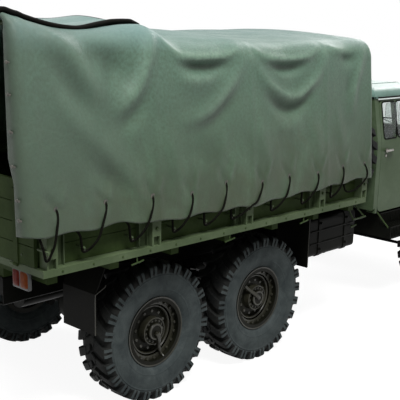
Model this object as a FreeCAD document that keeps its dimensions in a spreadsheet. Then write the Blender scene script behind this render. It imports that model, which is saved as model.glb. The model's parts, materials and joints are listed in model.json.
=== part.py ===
"""Military cargo truck, six wheels driven, bonneted cab, wooden cargo body under a canvas cover.

Millimetres. +X points forward, +Y to the left, +Z up. The origin is on the ground,
midway between the front bumper and the rear edge of the canvas, on the symmetry plane.
Every size stands in the spreadsheet "sizes", and the pieces are bound to its cells.
"""
import FreeCAD, Part
import math
import os
import re
import Sketcher

Vector = FreeCAD.Vector
Placement = FreeCAD.Placement
Rotation = FreeCAD.Rotation

# name, millimetres (or degrees where the name says so)
SIZES = (
    # running gear
    ("front_axle_x", 2465), ("wheelbase", 3350), ("bogie_tyre_gap", 110),
    ("tyre_radius", 570), ("standard_tyre_radius", 570), ("tyre_width", 330), ("wheel_y", 872),
    ("bead_radius", 254), ("flange_radius", 287), ("rim_wall", 8),
    ("rim_half_width", 127), ("flange_wall", 12), ("bead_gap", 0.3),
    ("hub_radius", 110), ("hub_cap_radius", 72), ("hub_inner_end", 45), ("hub_outer_end", 100),
    ("disc_face", 30), ("disc_thickness", 15), ("hub_cap_height", 25),
    ("drum_radius", 205), ("drum_wall", 15), ("drum_depth", 110),
    ("spindle_radius", 45), ("spindle_depth", 80), ("bearing_gap", 0.4),
    ("kingpin_inset", 170), ("ball_radius", 90), ("ball_gap", 0.6), ("knuckle_wall", 24),
    ("kingpin_radius", 32), ("kingpin_height", 42), ("backplate_radius", 184), ("backplate_thickness", 8),
    ("axle_tube_radius", 60), ("diff_radius", 165), ("diff_width", 200),
    ("nose_radius", 85), ("nose_length", 260),
    ("steering_arm_length", 250), ("steering_arm_inset", 198), ("steering_arm_width", 34),
    ("steering_arm_drop", 70), ("steering_arm_height", 28), ("tie_rod_radius", 18), ("tie_rod_drop", 40),
    ("stud_radius", 13), ("stud_gap", 0.3),
    # frame
    ("frame_top", 1100), ("frame_height", 220), ("frame_half_width", 430), ("frame_wall", 8),
    ("frame_flange", 75), ("frame_inset", 215), ("frame_front_x", 3440),
    ("crossmember_length", 90), ("crossmember_height", 150), ("crossmember_wall", 8),
    ("hanger_behind", 1110), ("middle_member_ahead", 555), ("gearbox_member_x", 1050),
    ("crossmember_drop", 10),
    ("bumper_x", 3445), ("bumper_depth", 80), ("bumper_bottom", 640), ("bumper_height", 220),
    ("bumper_half_width", 1180), ("bumper_wall", 8),
    ("tow_eye_radius", 42), ("tow_bore_radius", 20), ("tow_plate", 20), ("tow_eye_x", 3475),
    ("tow_eye_drop", 48),
    ("leaf_thickness", 12), ("leaf_width", 75), ("front_spring_half", 640), ("rear_spring_half", 640),
    ("front_spring_inset", 38), ("rear_spring_outset", 60), ("spring_slope", 0.17),
    ("trunnion_over_axle", 130), ("trunnion_radius", 55), ("trunnion_hub_radius", 76), ("seat_gap", 0.3),
    ("torque_rod_radius", 24),
    ("engine_rear_x", 2262), ("engine_front_x", 3080), ("engine_half_width", 310),
    ("engine_bottom", 780), ("engine_top", 1550),
    ("gearbox_length", 760), ("gearbox_half_width", 190),
    ("transfer_rear_x", 850), ("transfer_front_x", 1250), ("transfer_bottom", 650),
    ("transfer_half_width", 150), ("front_shaft_radius", 38), ("rear_shaft_radius", 42),
    ("gearbox_shaft_rear_z", 860), ("gearbox_shaft_front_z", 960), ("front_shaft_z", 720),
    ("middle_shaft_z", 780), ("middle_nose_rise", 40), ("rear_nose_rise", 10),
    ("radiator_x", 3170), ("radiator_depth", 90), ("radiator_gap", 0.3),
    ("radiator_bottom", 900), ("radiator_top", 1570),
    # cab
    ("cab_rear_x", 915), ("cab_wall", 35), ("door_rear_x", 990), ("door_front_x", 1985),
    ("panel_gap", 6), ("cab_front_x", 2235), ("cab_half_width", 985), ("cab_lean", 80),
    ("cab_bottom", 1075), ("belt_z", 1800), ("cab_top", 2245), ("roof_top", 2425), ("roof_wall", 25),
    ("floor_bottom", 1112), ("floor_wall", 30), ("door_wall", 42), ("window_bottom", 1840),
    ("window_top", 2200), ("window_rear_x", 1040), ("window_front_x", 1910), ("window_post_x", 1280),
    ("window_post", 26), ("glass_thickness", 5), ("pane_gap", 0.3), ("cowl_top", 1812), ("windscreen_base_x", 2140),
    ("windscreen_top_x", 2035), ("windscreen_wall", 40), ("seat_top", 1480),
    ("seat_bottom", 1345), ("seat_rear_x", 960), ("seat_front_x", 1540), ("backrest_top", 2020),
    ("seat_side_gap", 125), ("bench_inner_y", 60), ("driver_inner_y", 200), ("driver_side_gap", 245),
    ("door_hinge_low", 1400), ("door_hinge_high", 1640), ("back_window_inner", 90),
    ("back_window_inset", 365), ("cab_mount_rear_x", 1040), ("cab_mount_front_x", 1960),
    ("hood_hinge_y", 150), ("steering_wheel_x", 1800), ("steering_wheel_inset", 515),
    ("steering_wheel_z", 1690), ("steering_wheel_radius", 215), ("steering_ring_radius", 15),
    ("handle_z", 1722), ("handle_x", 1052),
    ("hood_front_x", 3405), ("hood_bottom", 1600), ("hood_front_top", 1700), ("hood_wall", 12),
    ("hood_rear_half_width", 640), ("hood_front_half_width", 560),
    ("fender_over_arch", 75), ("fender_half_width", 1190), ("fender_inner_y", 600), ("fender_wall", 12),
    ("fender_rear_x", 1993), ("fender_front_x", 3440), ("fender_front_bottom", 880), ("arch_gap", 105),
    ("step_rear_x", 1080), ("step_gap", 5), ("step_top", 1055), ("step_bottom", 800),
    ("step_half_width", 1110), ("step_inner_y", 560), ("step_wall", 12),
    # cargo body
    ("bed_overhang", 1240), ("bed_front_x", 352), ("bed_half_width", 1250), ("bed_top", 1370),
    ("floor_thickness", 50), ("bearer_height", 80), ("bearer_length", 80), ("sill_width", 80),
    ("board_wall", 30), ("board_top", 1940), ("plank_height", 140), ("plank_groove", 6),
    ("plank_groove_depth", 8), ("board_gap", 3), ("post_width", 87), ("cleat_width", 87),
    ("cleat_depth", 35), ("cleat_wall", 8), ("post_notch_width", 58), ("post_notch_height", 70),
    ("post_notch_depth", 30), ("tailgate_gap", 8), ("gate_hinge_inset", 300),
    ("bench_width", 330), ("bench_thickness", 28), ("bench_z", 1800),
    ("bow_inset", 70), ("bow_tube", 30), ("bow_shoulder", 2795), ("bow_crown", 2885),
    ("bow_shoulder_radius", 170), ("bow_crown_radius", 8000),
    ("canvas_past_bed", 150), ("canvas_front_x", 388), ("canvas_thickness", 8), ("canvas_gap", 0.3),
    ("hem_overhang", 46), ("canvas_lip", 110), ("canvas_hem_z", 1585),
    ("curtain_thickness", 60), ("curtain_length", 1105), ("curtain_inset", 170),
    ("rope_radius", 8), ("rope_bend_radius", 20), ("rear_hook_overhang", 14), ("hook_pin_radius", 8),
    ("hook_inset", 36), ("hook_z", 1445), ("grommet_z", 1748), ("hook_past_rope", 17), ("hook_ear_y", 50),
    # equipment
    ("tank_past_tyre", 65), ("tank_front_x", 475), ("tank_bottom", 830), ("tank_top", 1205),
    ("tank_outer_y", 1060), ("tank_gap", 70), ("tank_corner", 45), ("strap_width", 50),
    ("flap_thickness", 8), ("flap_front_bottom", 748), ("flap_rear_bottom", 725), ("flap_rear_bend", 1040),
    ("flap_swing", 100), ("flap_past_tyre", 25), ("flap_width", 380),
    ("spare_x", 650), ("spare_y", -500), ("spare_z", 1712),
    ("tow_hook_z", 1000), ("silencer_radius", 78), ("silencer_x", 1300), ("silencer_length", 560), ("silencer_z", 815), ("silencer_y", 264), ("pipe_radius", 36),
    ("air_tank_radius", 95), ("air_tank_length", 420), ("air_tank_y", 190), ("hinge_radius", 9), ("hinge_length", 40), ("hinge_gap", 0.3),
    ("hinge_leaf", 3), ("door_hinge_x", 1988), ("hood_hinge_x", 2244.5), ("hood_hinge_z", 1806),
    ("gate_hinge_out", 12), ("gate_hinge_drop", 12),
    ("lamp_height", 65), ("lamp_inset", 200), ("lamp_width", 180), ("lamp_depth", 45),
    ("headlamp_y", 840), ("headlamp_z", 1085), ("headlamp_radius", 105), ("headlamp_depth", 70),
)

# sizes that follow from others: what fits a piece is stated from that piece
FOLLOW = {
    "bogie_spread": "2 * tyre_radius + bogie_tyre_gap",
    "kingpin_y": "wheel_y - kingpin_inset",
    "backplate_y": "wheel_y - drum_depth",
    "steering_arm_y": "wheel_y - steering_arm_inset",
    "steering_arm_z": "tyre_radius - steering_arm_drop",
    "front_spring_y": "frame_half_width - front_spring_inset",
    "rear_spring_y": "frame_half_width + rear_spring_outset",
    "trunnion_z": "tyre_radius + trunnion_over_axle",
    "cab_roof_half_width": "cab_half_width - cab_lean",
    "arch_radius": "tyre_radius + arch_gap",
    "fender_top": "tyre_radius + arch_radius + fender_over_arch",
    "step_front_x": "front_axle_x - arch_radius - step_gap",
    "bed_rear_x": "front_axle_x - wheelbase - bogie_spread - bed_overhang",
    "frame_rear_x": "bed_rear_x + frame_inset",
    "bow_leg_y": "bed_half_width - bow_inset",
    "canvas_rear_x": "bed_rear_x - canvas_past_bed",
    "canvas_hem_y": "bed_half_width + hem_overhang",
    "curtain_front_x": "canvas_rear_x + curtain_length",
    "curtain_half_width": "bed_half_width - curtain_inset",
    "rear_hook_y": "bed_half_width + rear_hook_overhang",
    "hook_y": "bed_half_width - hook_inset",
    "tank_rear_x": "front_axle_x - wheelbase + tyre_radius + tank_past_tyre",
    "tank_inner_y": "frame_half_width + tank_gap",
    "flap_outer_y": "wheel_y + tyre_width / 2 + flap_past_tyre",
    "gate_hinge_x": "bed_rear_x - gate_hinge_out",
    "gate_hinge_z": "bed_top - gate_hinge_drop",
}
# heights of what the springs carry, as they are on the standard tyre: a larger one lifts them all
HEIGHTS = {
    "frame_top", "bumper_bottom", "engine_bottom", "engine_top", "radiator_bottom", "radiator_top",
    "cab_bottom", "belt_z", "cab_top", "roof_top", "floor_bottom", "window_bottom", "window_top",
    "cowl_top", "seat_top", "hood_bottom", "hood_front_top", "fender_front_bottom", "step_top",
    "step_bottom", "bed_top", "board_top", "bench_z", "bow_shoulder", "bow_crown", "canvas_hem_z",
    "hook_z", "grommet_z", "tank_bottom", "tank_top", "spare_z", "silencer_z", "hood_hinge_z",
    "headlamp_z", "seat_bottom", "backrest_top", "door_hinge_low", "door_hinge_high", "flap_front_bottom",
    "flap_rear_bottom", "flap_rear_bend", "transfer_bottom", "steering_wheel_z", "handle_z",
    "tow_hook_z", "gearbox_shaft_rear_z", "gearbox_shaft_front_z", "front_shaft_z", "middle_shaft_z",
}

# centres of the side posts
POSTS = (
    ("a", "(bed_rear_x + 74)"), ("b", "(bed_rear_x + 1003)"), ("c", "(bed_rear_x + 2035)"),
    ("d", "(bed_rear_x + 3025)"), ("e", "(bed_front_x - 40)"),
)
# grommet and hook of each loop of the lashing, from the rear edge of the bed forwards
LASHING = (
    (106, 21), (529, 341), (948, 771), (1356, 1189), (1737, 1524),
    (2180, 1830), (2534, 2324), (2928, 2740), (3308, 3168),
)
FIRST_GROMMET = -115
BOWS = ("(bed_rear_x - bow_tube / 2)", "(bed_rear_x + 1003)", "(bed_rear_x + 2035)",
        "(bed_rear_x + 3025)", "(bed_front_x - 22)")
WHEELS = (
    # name, which axle, side (+1 left, -1 right)
    ("front_left", "front_axle_x", 1), ("front_right", "front_axle_x", -1),
    ("middle_left", "front_axle_x - wheelbase", 1), ("middle_right", "front_axle_x - wheelbase", -1),
    ("rear_left", "front_axle_x - wheelbase - bogie_spread", 1),
    ("rear_right", "front_axle_x - wheelbase - bogie_spread", -1),
)
MIDDLE = "(front_axle_x - wheelbase)"
REAR = "(front_axle_x - wheelbase - bogie_spread)"
TRUNNION = "(front_axle_x - wheelbase - bogie_spread / 2)"
AXLE_Z = "tyre_radius"
FLAP_FRONT_X = "(front_axle_x - wheelbase + tyre_radius + 40)"
FLAP_TOP_X = "(front_axle_x - wheelbase - bogie_spread - tyre_radius + 5)"
# centres of the cross bearers; the rear mudflaps hang from the second
BEARERS = ("(bed_rear_x + 135)", FLAP_TOP_X, "(bed_rear_x + 1275)", "(bed_rear_x + 1875)",
           "(bed_rear_x + 2475)", "(bed_rear_x + 3060)", "(bed_front_x - 112)")

doc = FreeCAD.newDocument("cargo_truck")
sheet = doc.addObject("Spreadsheet::Sheet", "sizes")
for row, (alias, number) in enumerate(SIZES, 1):
    sheet.set("A%d" % row, alias)
    sheet.set("B%d" % row, str(number))
    sheet.setAlias("B%d" % row, alias)
doc.recompute()
ALIASES = {alias for alias, number in SIZES}
NODES = {}


WORD = re.compile(r"[a-z_][a-z_0-9]*")
RIDE = "(sizes.%s + sizes.tyre_radius - sizes.standard_tyre_radius)"


def written_out(word):
    """What stands for one plain name in an expression over the sheet's cells."""
    name = word[0]
    if name in FOLLOW:
        return "(%s)" % bound(FOLLOW[name])
    if name in HEIGHTS:
        return RIDE % name
    return "sizes." + name if name in ALIASES else name


def bound(text):
    """An expression over the sheet's cells, from one over their plain names."""
    return WORD.sub(written_out, str(text))


def value(text):
    """The number that an expression over the sheet's names gives now."""
    return float(sheet.evalExpression(bound(text)))


def bind(thing, setting, text):
    thing.setExpression(setting, bound(text))


def place(thing, x, y, z, turn=None):
    """Put a piece at three expressions, turned by a fixed rotation."""
    thing.Placement = Placement(Vector(0, 0, 0), turn or Rotation())
    for axis, text in (("x", x), ("y", y), ("z", z)):
        bind(thing, "Placement.Base." + axis, text)
    return thing


def block(name, x, y, z):
    """A box between two expressions along each axis."""
    thing = doc.addObject("Part::Box", name)
    for side, (low, high) in (("Length", x), ("Width", y), ("Height", z)):
        bind(thing, side, "(%s) - (%s)" % (high, low))
    return place(thing, x[0], y[0], z[0])


# a cylinder's own axis is Z; these turn it to lie along another axis
ALONG = {"x": Rotation(Vector(0, 1, 0), 90), "y": Rotation(Vector(1, 0, 0), -90), "z": Rotation()}


def rod(name, axis, radius, start, length):
    """A round bar from a start point along +X, +Y or +Z."""
    thing = doc.addObject("Part::Cylinder", name)
    bind(thing, "Radius", radius)
    bind(thing, "Height", length)
    return place(thing, start[0], start[1], start[2], ALONG[axis])


def bar(name, radius, start, end):
    """A round bar between two points of expressions, at any slant."""
    low = Vector(*[value(text) for text in start])
    high = Vector(*[value(text) for text in end])
    thing = doc.addObject("Part::Cylinder", name)
    bind(thing, "Radius", radius)
    thing.Height = (high - low).Length
    thing.Placement = Placement(low, Rotation(Vector(0, 0, 1), high - low))
    return thing


# how a drawing plane lies: its turn, the way it is pulled, the axis it stands on
PLANES = {
    "side": (Rotation(Vector(1, 0, 0), 90), Vector(0, 1, 0), "y"),
    "plan": (Rotation(), Vector(0, 0, 1), "z"),
    "front": (Rotation(Vector(1, 1, 1), 120), Vector(1, 0, 0), "x"),
}


def draw(name, corners):
    """A closed outline of straight lines; a corner's third entry is the radius that rounds it."""
    sketch = doc.addObject("Sketcher::SketchObject", name)
    points = [Vector(value(corner[0]), value(corner[1]), 0) for corner in corners]
    count = len(corners)
    for index in range(count):
        sketch.addGeometry(Part.LineSegment(points[index], points[(index + 1) % count]))
    for index in range(count):
        sketch.addConstraint(Sketcher.Constraint("Coincident", index, 2, (index + 1) % count, 1))
    for index, corner in enumerate(corners):
        for kind, text, number in (("DistanceX", corner[0], points[index].x),
                                   ("DistanceY", corner[1], points[index].y)):
            place_of = sketch.addConstraint(Sketcher.Constraint(kind, -1, 1, index, 1, number))
            bind(sketch, "Constraints[%d]" % place_of, text)
    for index, corner in enumerate(corners):
        if len(corner) > 2:
            sketch.fillet(index, 1, value(corner[2]), True, True)
            arc = sketch.GeometryCount - 2
            size_of = sketch.addConstraint(Sketcher.Constraint("Radius", arc, value(corner[2])))
            bind(sketch, "Constraints[%d]" % size_of, corner[2])
    return sketch


def slab(name, plane, corners, low, high):
    """An outline drawn in a plane and pulled straight from low to high."""
    turn, pull, axis = PLANES[plane]
    sketch = draw(name + "_outline", corners)
    stand = {"x": "0", "y": "0", "z": "0"}
    stand[axis] = low
    place(sketch, stand["x"], stand["y"], stand["z"], turn)
    thing = doc.addObject("Part::Extrusion", name)
    thing.Base = sketch
    thing.DirMode = "Custom"
    thing.Dir = pull
    thing.Solid = True
    bind(thing, "LengthFwd", "(%s) - (%s)" % (high, low))
    return thing


def turned(name, corners):
    """A closed outline of (radius, height) turned about +Z."""
    sketch = draw(name + "_outline", corners)
    place(sketch, "0", "0", "0", Rotation(Vector(1, 0, 0), 90))
    thing = doc.addObject("Part::Revolution", name)
    thing.Source = sketch
    thing.Axis = Vector(0, 0, 1)
    thing.Base = Vector(0, 0, 0)
    thing.Angle = 360
    thing.Solid = True
    return thing


def cut(name, base, *tools):
    thing = doc.addObject("Part::Cut", name)
    thing.Base = base
    thing.Tool = tools[0] if len(tools) == 1 else fuse(name + "_tools", *tools)
    return thing


def fuse(name, *pieces):
    thing = doc.addObject("Part::MultiFuse", name)
    thing.Shapes = list(pieces)
    return thing


def shared(name, first, second):
    thing = doc.addObject("Part::MultiCommon", name)
    thing.Shapes = [first, second]
    return thing


def group(name, *pieces):
    thing = doc.addObject("Part::Compound", name)
    thing.Links = list(pieces)
    return thing


def mirrored(name, piece):
    """The same piece on the other side of the symmetry plane."""
    thing = doc.addObject("Part::Mirroring", name)
    thing.Source = piece
    thing.Normal = Vector(0, 1, 0)
    thing.Base = Vector(0, 0, 0)
    return thing


def both(name, piece):
    return group(name, piece, mirrored(name + "_left", piece))


def node(name, *pieces):
    """Name the file that a piece, or several pieces on one body, are written to."""
    thing = pieces[0] if len(pieces) == 1 else group(name + "_set", *pieces)
    thing.Label = name
    NODES[name] = thing
    return thing


def minus(text):
    return "-(%s)" % text


# ---------------------------------------------------------------- frame

CROSSMEMBER_TOP = "(frame_top - frame_wall - crossmember_drop)"
CROSSMEMBER_LOW = "(frame_top - frame_wall - crossmember_drop - crossmember_height)"


def frame():
    """Two pressed channel rails, open towards each other, and channel crossmembers."""
    low = "frame_top - frame_height"
    inner = "frame_half_width - frame_flange"
    web = "frame_half_width - frame_wall"
    rail = slab("rail", "front", [
        (inner, low), ("frame_half_width", low, "2 * frame_wall"),
        ("frame_half_width", "frame_top", "2 * frame_wall"), (inner, "frame_top"),
        (inner, "frame_top - frame_wall"), (web, "frame_top - frame_wall", "frame_wall"),
        (web, low + " + frame_wall", "frame_wall"), (inner, low + " + frame_wall")],
        "frame_rear_x", "frame_front_x")
    node("frame_rails", rail, mirrored("rail_left", rail))
    members = []
    for name, centre in (("rear", "frame_rear_x + crossmember_length"), ("hanger", TRUNNION + " - hanger_behind"),
                         ("bogie", TRUNNION), ("middle", MIDDLE + " + middle_member_ahead"), ("gearbox", "gearbox_member_x"),
                         ("nose", "radiator_x + radiator_depth + crossmember_length")):
        top = CROSSMEMBER_TOP
        half = "crossmember_length / 2"
        rear = "%s - %s" % (centre, half)
        front = "%s + %s" % (centre, half)
        members.append(slab("crossmember_" + name, "side", [
            (rear, top), (front, top), (front, top + " - crossmember_wall"),
            (rear + " + crossmember_wall", top + " - crossmember_wall", "crossmember_wall"),
            (rear + " + crossmember_wall", top + " - crossmember_height + crossmember_wall",
             "crossmember_wall"),
            (front, top + " - crossmember_height + crossmember_wall"),
            (front, top + " - crossmember_height"), (rear, top + " - crossmember_height")],
            minus(web), web))
    return members


def bumper():
    """A channel bumper, open to the rear, with a tow eye under each rail end."""
    rear = "bumper_x"
    front = "bumper_x + bumper_depth"
    low = "bumper_bottom"
    top = "bumper_bottom + bumper_height"
    beam = slab("bumper_beam", "side", [
        (rear, low), (front, low, "3 * bumper_wall"), (front, top, "3 * bumper_wall"), (rear, top),
        (rear, top + " - bumper_wall"), (front + " - bumper_wall", top + " - bumper_wall", "2 * bumper_wall"),
        (front + " - bumper_wall", low + " + bumper_wall", "2 * bumper_wall"), (rear, low + " + bumper_wall")],
        minus("bumper_half_width"), "bumper_half_width")
    ends = "frame_half_width - frame_flange"
    bracket = block("bumper_bracket", ("frame_front_x - 160", "bumper_x"),
                    (ends, "frame_half_width - frame_wall"), (low, "frame_top - frame_height"))
    plate_low = "bumper_bottom - tow_eye_drop"
    y_low = "(frame_half_width - frame_wall) - tow_plate"
    ear = slab("tow_ear", "side", [
        ("bumper_x - 100", low), ("bumper_x - 100", low + " - 25"),
        ("tow_eye_x - tow_eye_radius", plate_low + " - tow_eye_radius", "tow_eye_radius / 2"),
        ("tow_eye_x + tow_eye_radius", plate_low + " - tow_eye_radius", "tow_eye_radius - 2"),
        ("tow_eye_x + tow_eye_radius", low)], y_low, y_low + " + tow_plate")
    bore = rod("tow_bore", "y", "tow_bore_radius", ("tow_eye_x", y_low + " - 5", plate_low), "tow_plate + 10")
    eye = cut("tow_eye", ear, bore)
    node("front_bumper", beam, both("bumper_brackets", bracket), both("tow_eyes", eye))


def power():
    """Engine and radiator, and the gearbox, transfer case and propeller shafts behind them."""
    inside = "frame_half_width - frame_flange"
    body = block("engine_block", ("engine_rear_x", "engine_front_x"),
                 (minus("engine_half_width"), "engine_half_width"), ("engine_bottom", "engine_top"))
    foot = block("engine_foot", ("engine_front_x - 300", "engine_front_x - 180"),
                 (minus(inside + " + 40"), minus("engine_half_width - 1")),
                 ("frame_top - frame_height + frame_wall", "frame_top - frame_height + frame_wall + 30"))
    node("engine", fuse("engine_made", body, both("engine_feet", foot)))
    core = block("radiator_core", ("radiator_x", "radiator_x + radiator_depth"),
                 (minus(inside + " - radiator_gap"), inside + " - radiator_gap"), ("radiator_bottom", "radiator_top"))
    node("radiator", core)
    gearbox = slab("gearbox", "side", [
        ("engine_rear_x - seat_gap", "frame_top - 20"), ("engine_rear_x - seat_gap", "engine_bottom + 40"),
        ("engine_rear_x - 300", "engine_bottom + 60"),
        ("engine_rear_x - gearbox_length", "engine_bottom + 120", "40"),
        ("engine_rear_x - gearbox_length", "frame_top - 40", "30")],
        minus("gearbox_half_width"), "gearbox_half_width")
    case = slab("transfer_case", "side", [
        ("transfer_rear_x", "transfer_bottom", "60"), ("transfer_front_x", "transfer_bottom", "60"),
        ("transfer_front_x", CROSSMEMBER_LOW), ("transfer_rear_x", CROSSMEMBER_LOW)],
        minus("transfer_half_width"), "transfer_half_width")
    link = shaft("gearbox_shaft", "front_shaft_radius", "transfer_front_x", "gearbox_shaft_rear_z",
                 "engine_rear_x - gearbox_length", "gearbox_shaft_front_z")
    to_front = shaft("front_shaft", "front_shaft_radius", "transfer_front_x", "front_shaft_z",
                     "front_axle_x - nose_length", AXLE_Z)
    to_middle = shaft("middle_shaft", "rear_shaft_radius", MIDDLE + " + nose_length",
                      AXLE_Z + " + middle_nose_rise", "transfer_rear_x", "middle_shaft_z")
    between = shaft("rear_shaft", "rear_shaft_radius", REAR + " + nose_length", AXLE_Z + " + rear_nose_rise",
                    MIDDLE + " - diff_radius", AXLE_Z + " + rear_nose_rise")
    node("driveline", gearbox, case, link, to_front, to_middle, between)


def shaft(name, radius, rear_x, rear_z, front_x, front_z):
    """A propeller shaft between two flange faces, with a joint flange at each."""
    length = "32"
    tube = bar(name + "_tube", radius, ("%s + 16" % rear_x, "0", rear_z), ("%s - 16" % front_x, "0", front_z))
    flanges = [rod(name + "_rear_flange", "x", "%s + 18" % radius, ("%s + seat_gap" % rear_x, "0", rear_z), length),
               rod(name + "_front_flange", "x", "%s + 18" % radius,
                   ("%s - seat_gap - %s" % (front_x, length), "0", front_z), length)]
    return fuse(name, tube, *flanges)


# ---------------------------------------------------------------- axles, springs and wheels

def axle(name, x, ends, nose_way, nose_rise):
    """An axle tube with its final drive and the pinion nose towards the shaft that drives it."""
    tube = rod(name + "_tube", "y", "axle_tube_radius", (x, minus(ends), AXLE_Z), "2 * (%s)" % ends)
    drive = turned(name + "_housing", [
        ("0", "-diff_width"), ("axle_tube_radius + 8", "-diff_width"), ("diff_radius", "-diff_width / 3", "60"),
        ("diff_radius", "diff_width / 3", "60"), ("axle_tube_radius + 8", "diff_width"), ("0", "diff_width")])
    place(drive, x, "0", AXLE_Z, ALONG["y"])
    start = x if nose_way > 0 else "%s - nose_length" % x
    nose = rod(name + "_nose", "x", "nose_radius", (start, "0", AXLE_Z + " + %s" % nose_rise), "nose_length")
    return [tube, drive, nose]


def front_axle():
    """The driven front axle ends in balls that the knuckles turn on."""
    pieces = axle("front_axle", "front_axle_x", "kingpin_y", -1, "0")
    for side, sign in (("left", "1"), ("right", "-1")):
        ball = doc.addObject("Part::Sphere", "steering_ball_" + side)
        bind(ball, "Radius", "ball_radius")
        pieces.append(place(ball, "front_axle_x", "%s * kingpin_y" % sign, AXLE_Z))
        seat_low = AXLE_Z
        pieces.append(block("front_spring_seat_" + side, ("front_axle_x - 90", "front_axle_x + 90"),
                            ("%s * front_spring_y - leaf_width / 2" % sign,
                             "%s * front_spring_y + leaf_width / 2" % sign),
                            (seat_low, AXLE_Z + " + axle_tube_radius + 12")))
    node("front_axle", fuse("front_axle_body", *pieces))


def knuckle(side, sign):
    """Knuckle housing round the ball, brake backplate, spindle, and the arm for the tie rod."""
    bowl = "ball_radius + ball_gap"
    rim = bowl + " + knuckle_wall"
    face = "backplate_y - kingpin_y"
    shell = turned("knuckle_shell_" + side, [
        (bowl, "0"), (rim, "0"), (rim, face), ("backplate_radius", face),
        ("backplate_radius", face + " + backplate_thickness"), (bowl, face + " + backplate_thickness"),
        ("spindle_radius + 30", rim), ("spindle_radius", rim),
        ("spindle_radius", "wheel_y + spindle_depth - seat_gap - kingpin_y"),
        ("0", "wheel_y + spindle_depth - seat_gap - kingpin_y"), ("0", bowl), (bowl, bowl, bowl + " - 0.05")])
    place(shell, "front_axle_x", "%d * kingpin_y" % sign, AXLE_Z, Rotation(Vector(1, 0, 0), -90 * sign))
    pins = []
    for end, start in (("top", bowl), ("bottom", minus(bowl + " + kingpin_height"))):
        pins.append(rod("kingpin_%s_%s" % (end, side), "z", "kingpin_radius",
                        ("front_axle_x", "%d * kingpin_y" % sign, AXLE_Z + " + " + start), "kingpin_height"))
    arm_y = "%d * steering_arm_y" % sign
    low = "steering_arm_z"
    arm = slab("steering_arm_" + side, "plan", [
        ("front_axle_x - steering_arm_length - steering_arm_width / 2",
         arm_y + " - steering_arm_width / 2", "steering_arm_width / 2 - 1"),
        ("front_axle_x - 101", arm_y + " - steering_arm_width / 2"),
        ("front_axle_x - 101", arm_y + " + steering_arm_width / 2"),
        ("front_axle_x - steering_arm_length - steering_arm_width / 2",
         arm_y + " + steering_arm_width / 2", "steering_arm_width / 2 - 1")],
        low, low + " + steering_arm_height")
    lug_y = ("steering_arm_y - steering_arm_width / 2", "kingpin_y + 40")
    if sign < 0:
        lug_y = (minus(lug_y[1]), minus(lug_y[0]))
    lug = block("steering_lug_" + side, ("front_axle_x - 135", "front_axle_x - 100"), lug_y,
                (low, low + " + steering_arm_height"))
    node("knuckle_" + side, fuse("knuckle_body_" + side, shell, arm, lug, *pins))


def tie_rod():
    """The rod behind the axle; a ball stud at each end stands up to the arm above it."""
    x = "front_axle_x - steering_arm_length"
    z = "steering_arm_z - tie_rod_drop"
    tube = rod("tie_rod_tube", "y", "tie_rod_radius", (x, "-steering_arm_y", z), "2 * steering_arm_y")
    studs = []
    for side, sign in (("left", 1), ("right", -1)):
        studs.append(rod("tie_rod_stud_" + side, "z", "stud_radius", (x, "%d * steering_arm_y" % sign, z),
                         "tie_rod_drop - stud_gap"))
    node("tie_rod", fuse("tie_rod_body", tube, *studs))


def rear_axles():
    made = []
    for name, x, rise in (("middle_axle", MIDDLE, "middle_nose_rise"), ("rear_axle", REAR, "rear_nose_rise")):
        pieces = axle(name, x, "backplate_y + backplate_thickness", 1, rise)
        for side, sign in (("left", 1), ("right", -1)):
            start = "backplate_y" if sign > 0 else "-backplate_y - backplate_thickness"
            pieces.append(rod("%s_backplate_%s" % (name, side), "y", "backplate_radius", (x, start, AXLE_Z),
                              "backplate_thickness"))
            seat = ("rear_spring_y - leaf_width / 2", "rear_spring_y + leaf_width / 2")
            if sign < 0:
                seat = (minus(seat[1]), minus(seat[0]))
            pieces.append(block("%s_seat_%s" % (name, side), (x + " - 55", x + " + 55"), seat,
                                (AXLE_Z, REAR_SEAT)))
        spindle_end = "wheel_y + spindle_depth - seat_gap"
        pieces.append(rod(name + "_spindles", "y", "spindle_radius", (x, minus(spindle_end), AXLE_Z),
                          "2 * (%s)" % spindle_end))
        made.append(fuse(name + "_body", *pieces))
    node("rear_axles", *made)


def leaf_pack(name, x, z, y, half_length, leaves, way):
    """Graded leaves on one bow. way is +1 where the ends rise and -1 where they drop."""
    made = []
    for number in range(leaves):
        reach = "%s * %s" % (half_length, 1 - number * 0.13)
        base = "%s - %d * leaf_thickness" % (z, number * way)
        end = "%s + %d * spring_slope * %s" % (base, way, reach)
        made.append(slab("%s_leaf_%d" % (name, number + 1), "side", [
            ("%s - %s" % (x, reach), end), (x, base, "900"), ("%s + %s" % (x, reach), end),
            ("%s + %s" % (x, reach), end + " + leaf_thickness"), (x, base + " + leaf_thickness", "900"),
            ("%s - %s" % (x, reach), end + " + leaf_thickness")], "%s - leaf_width / 2" % y,
            "%s + leaf_width / 2" % y))
    return fuse(name, *made)


FRONT_LEAVES = 5
REAR_LEAVES = 6
# a bow of radius 900 with slope s leaves its corner by about 900 s^2 / 2
BOW_LIFT = "450 * spring_slope * spring_slope"
REAR_SEAT = "(trunnion_z + trunnion_hub_radius + %s - spring_slope * rear_spring_half - seat_gap)" % BOW_LIFT


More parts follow.
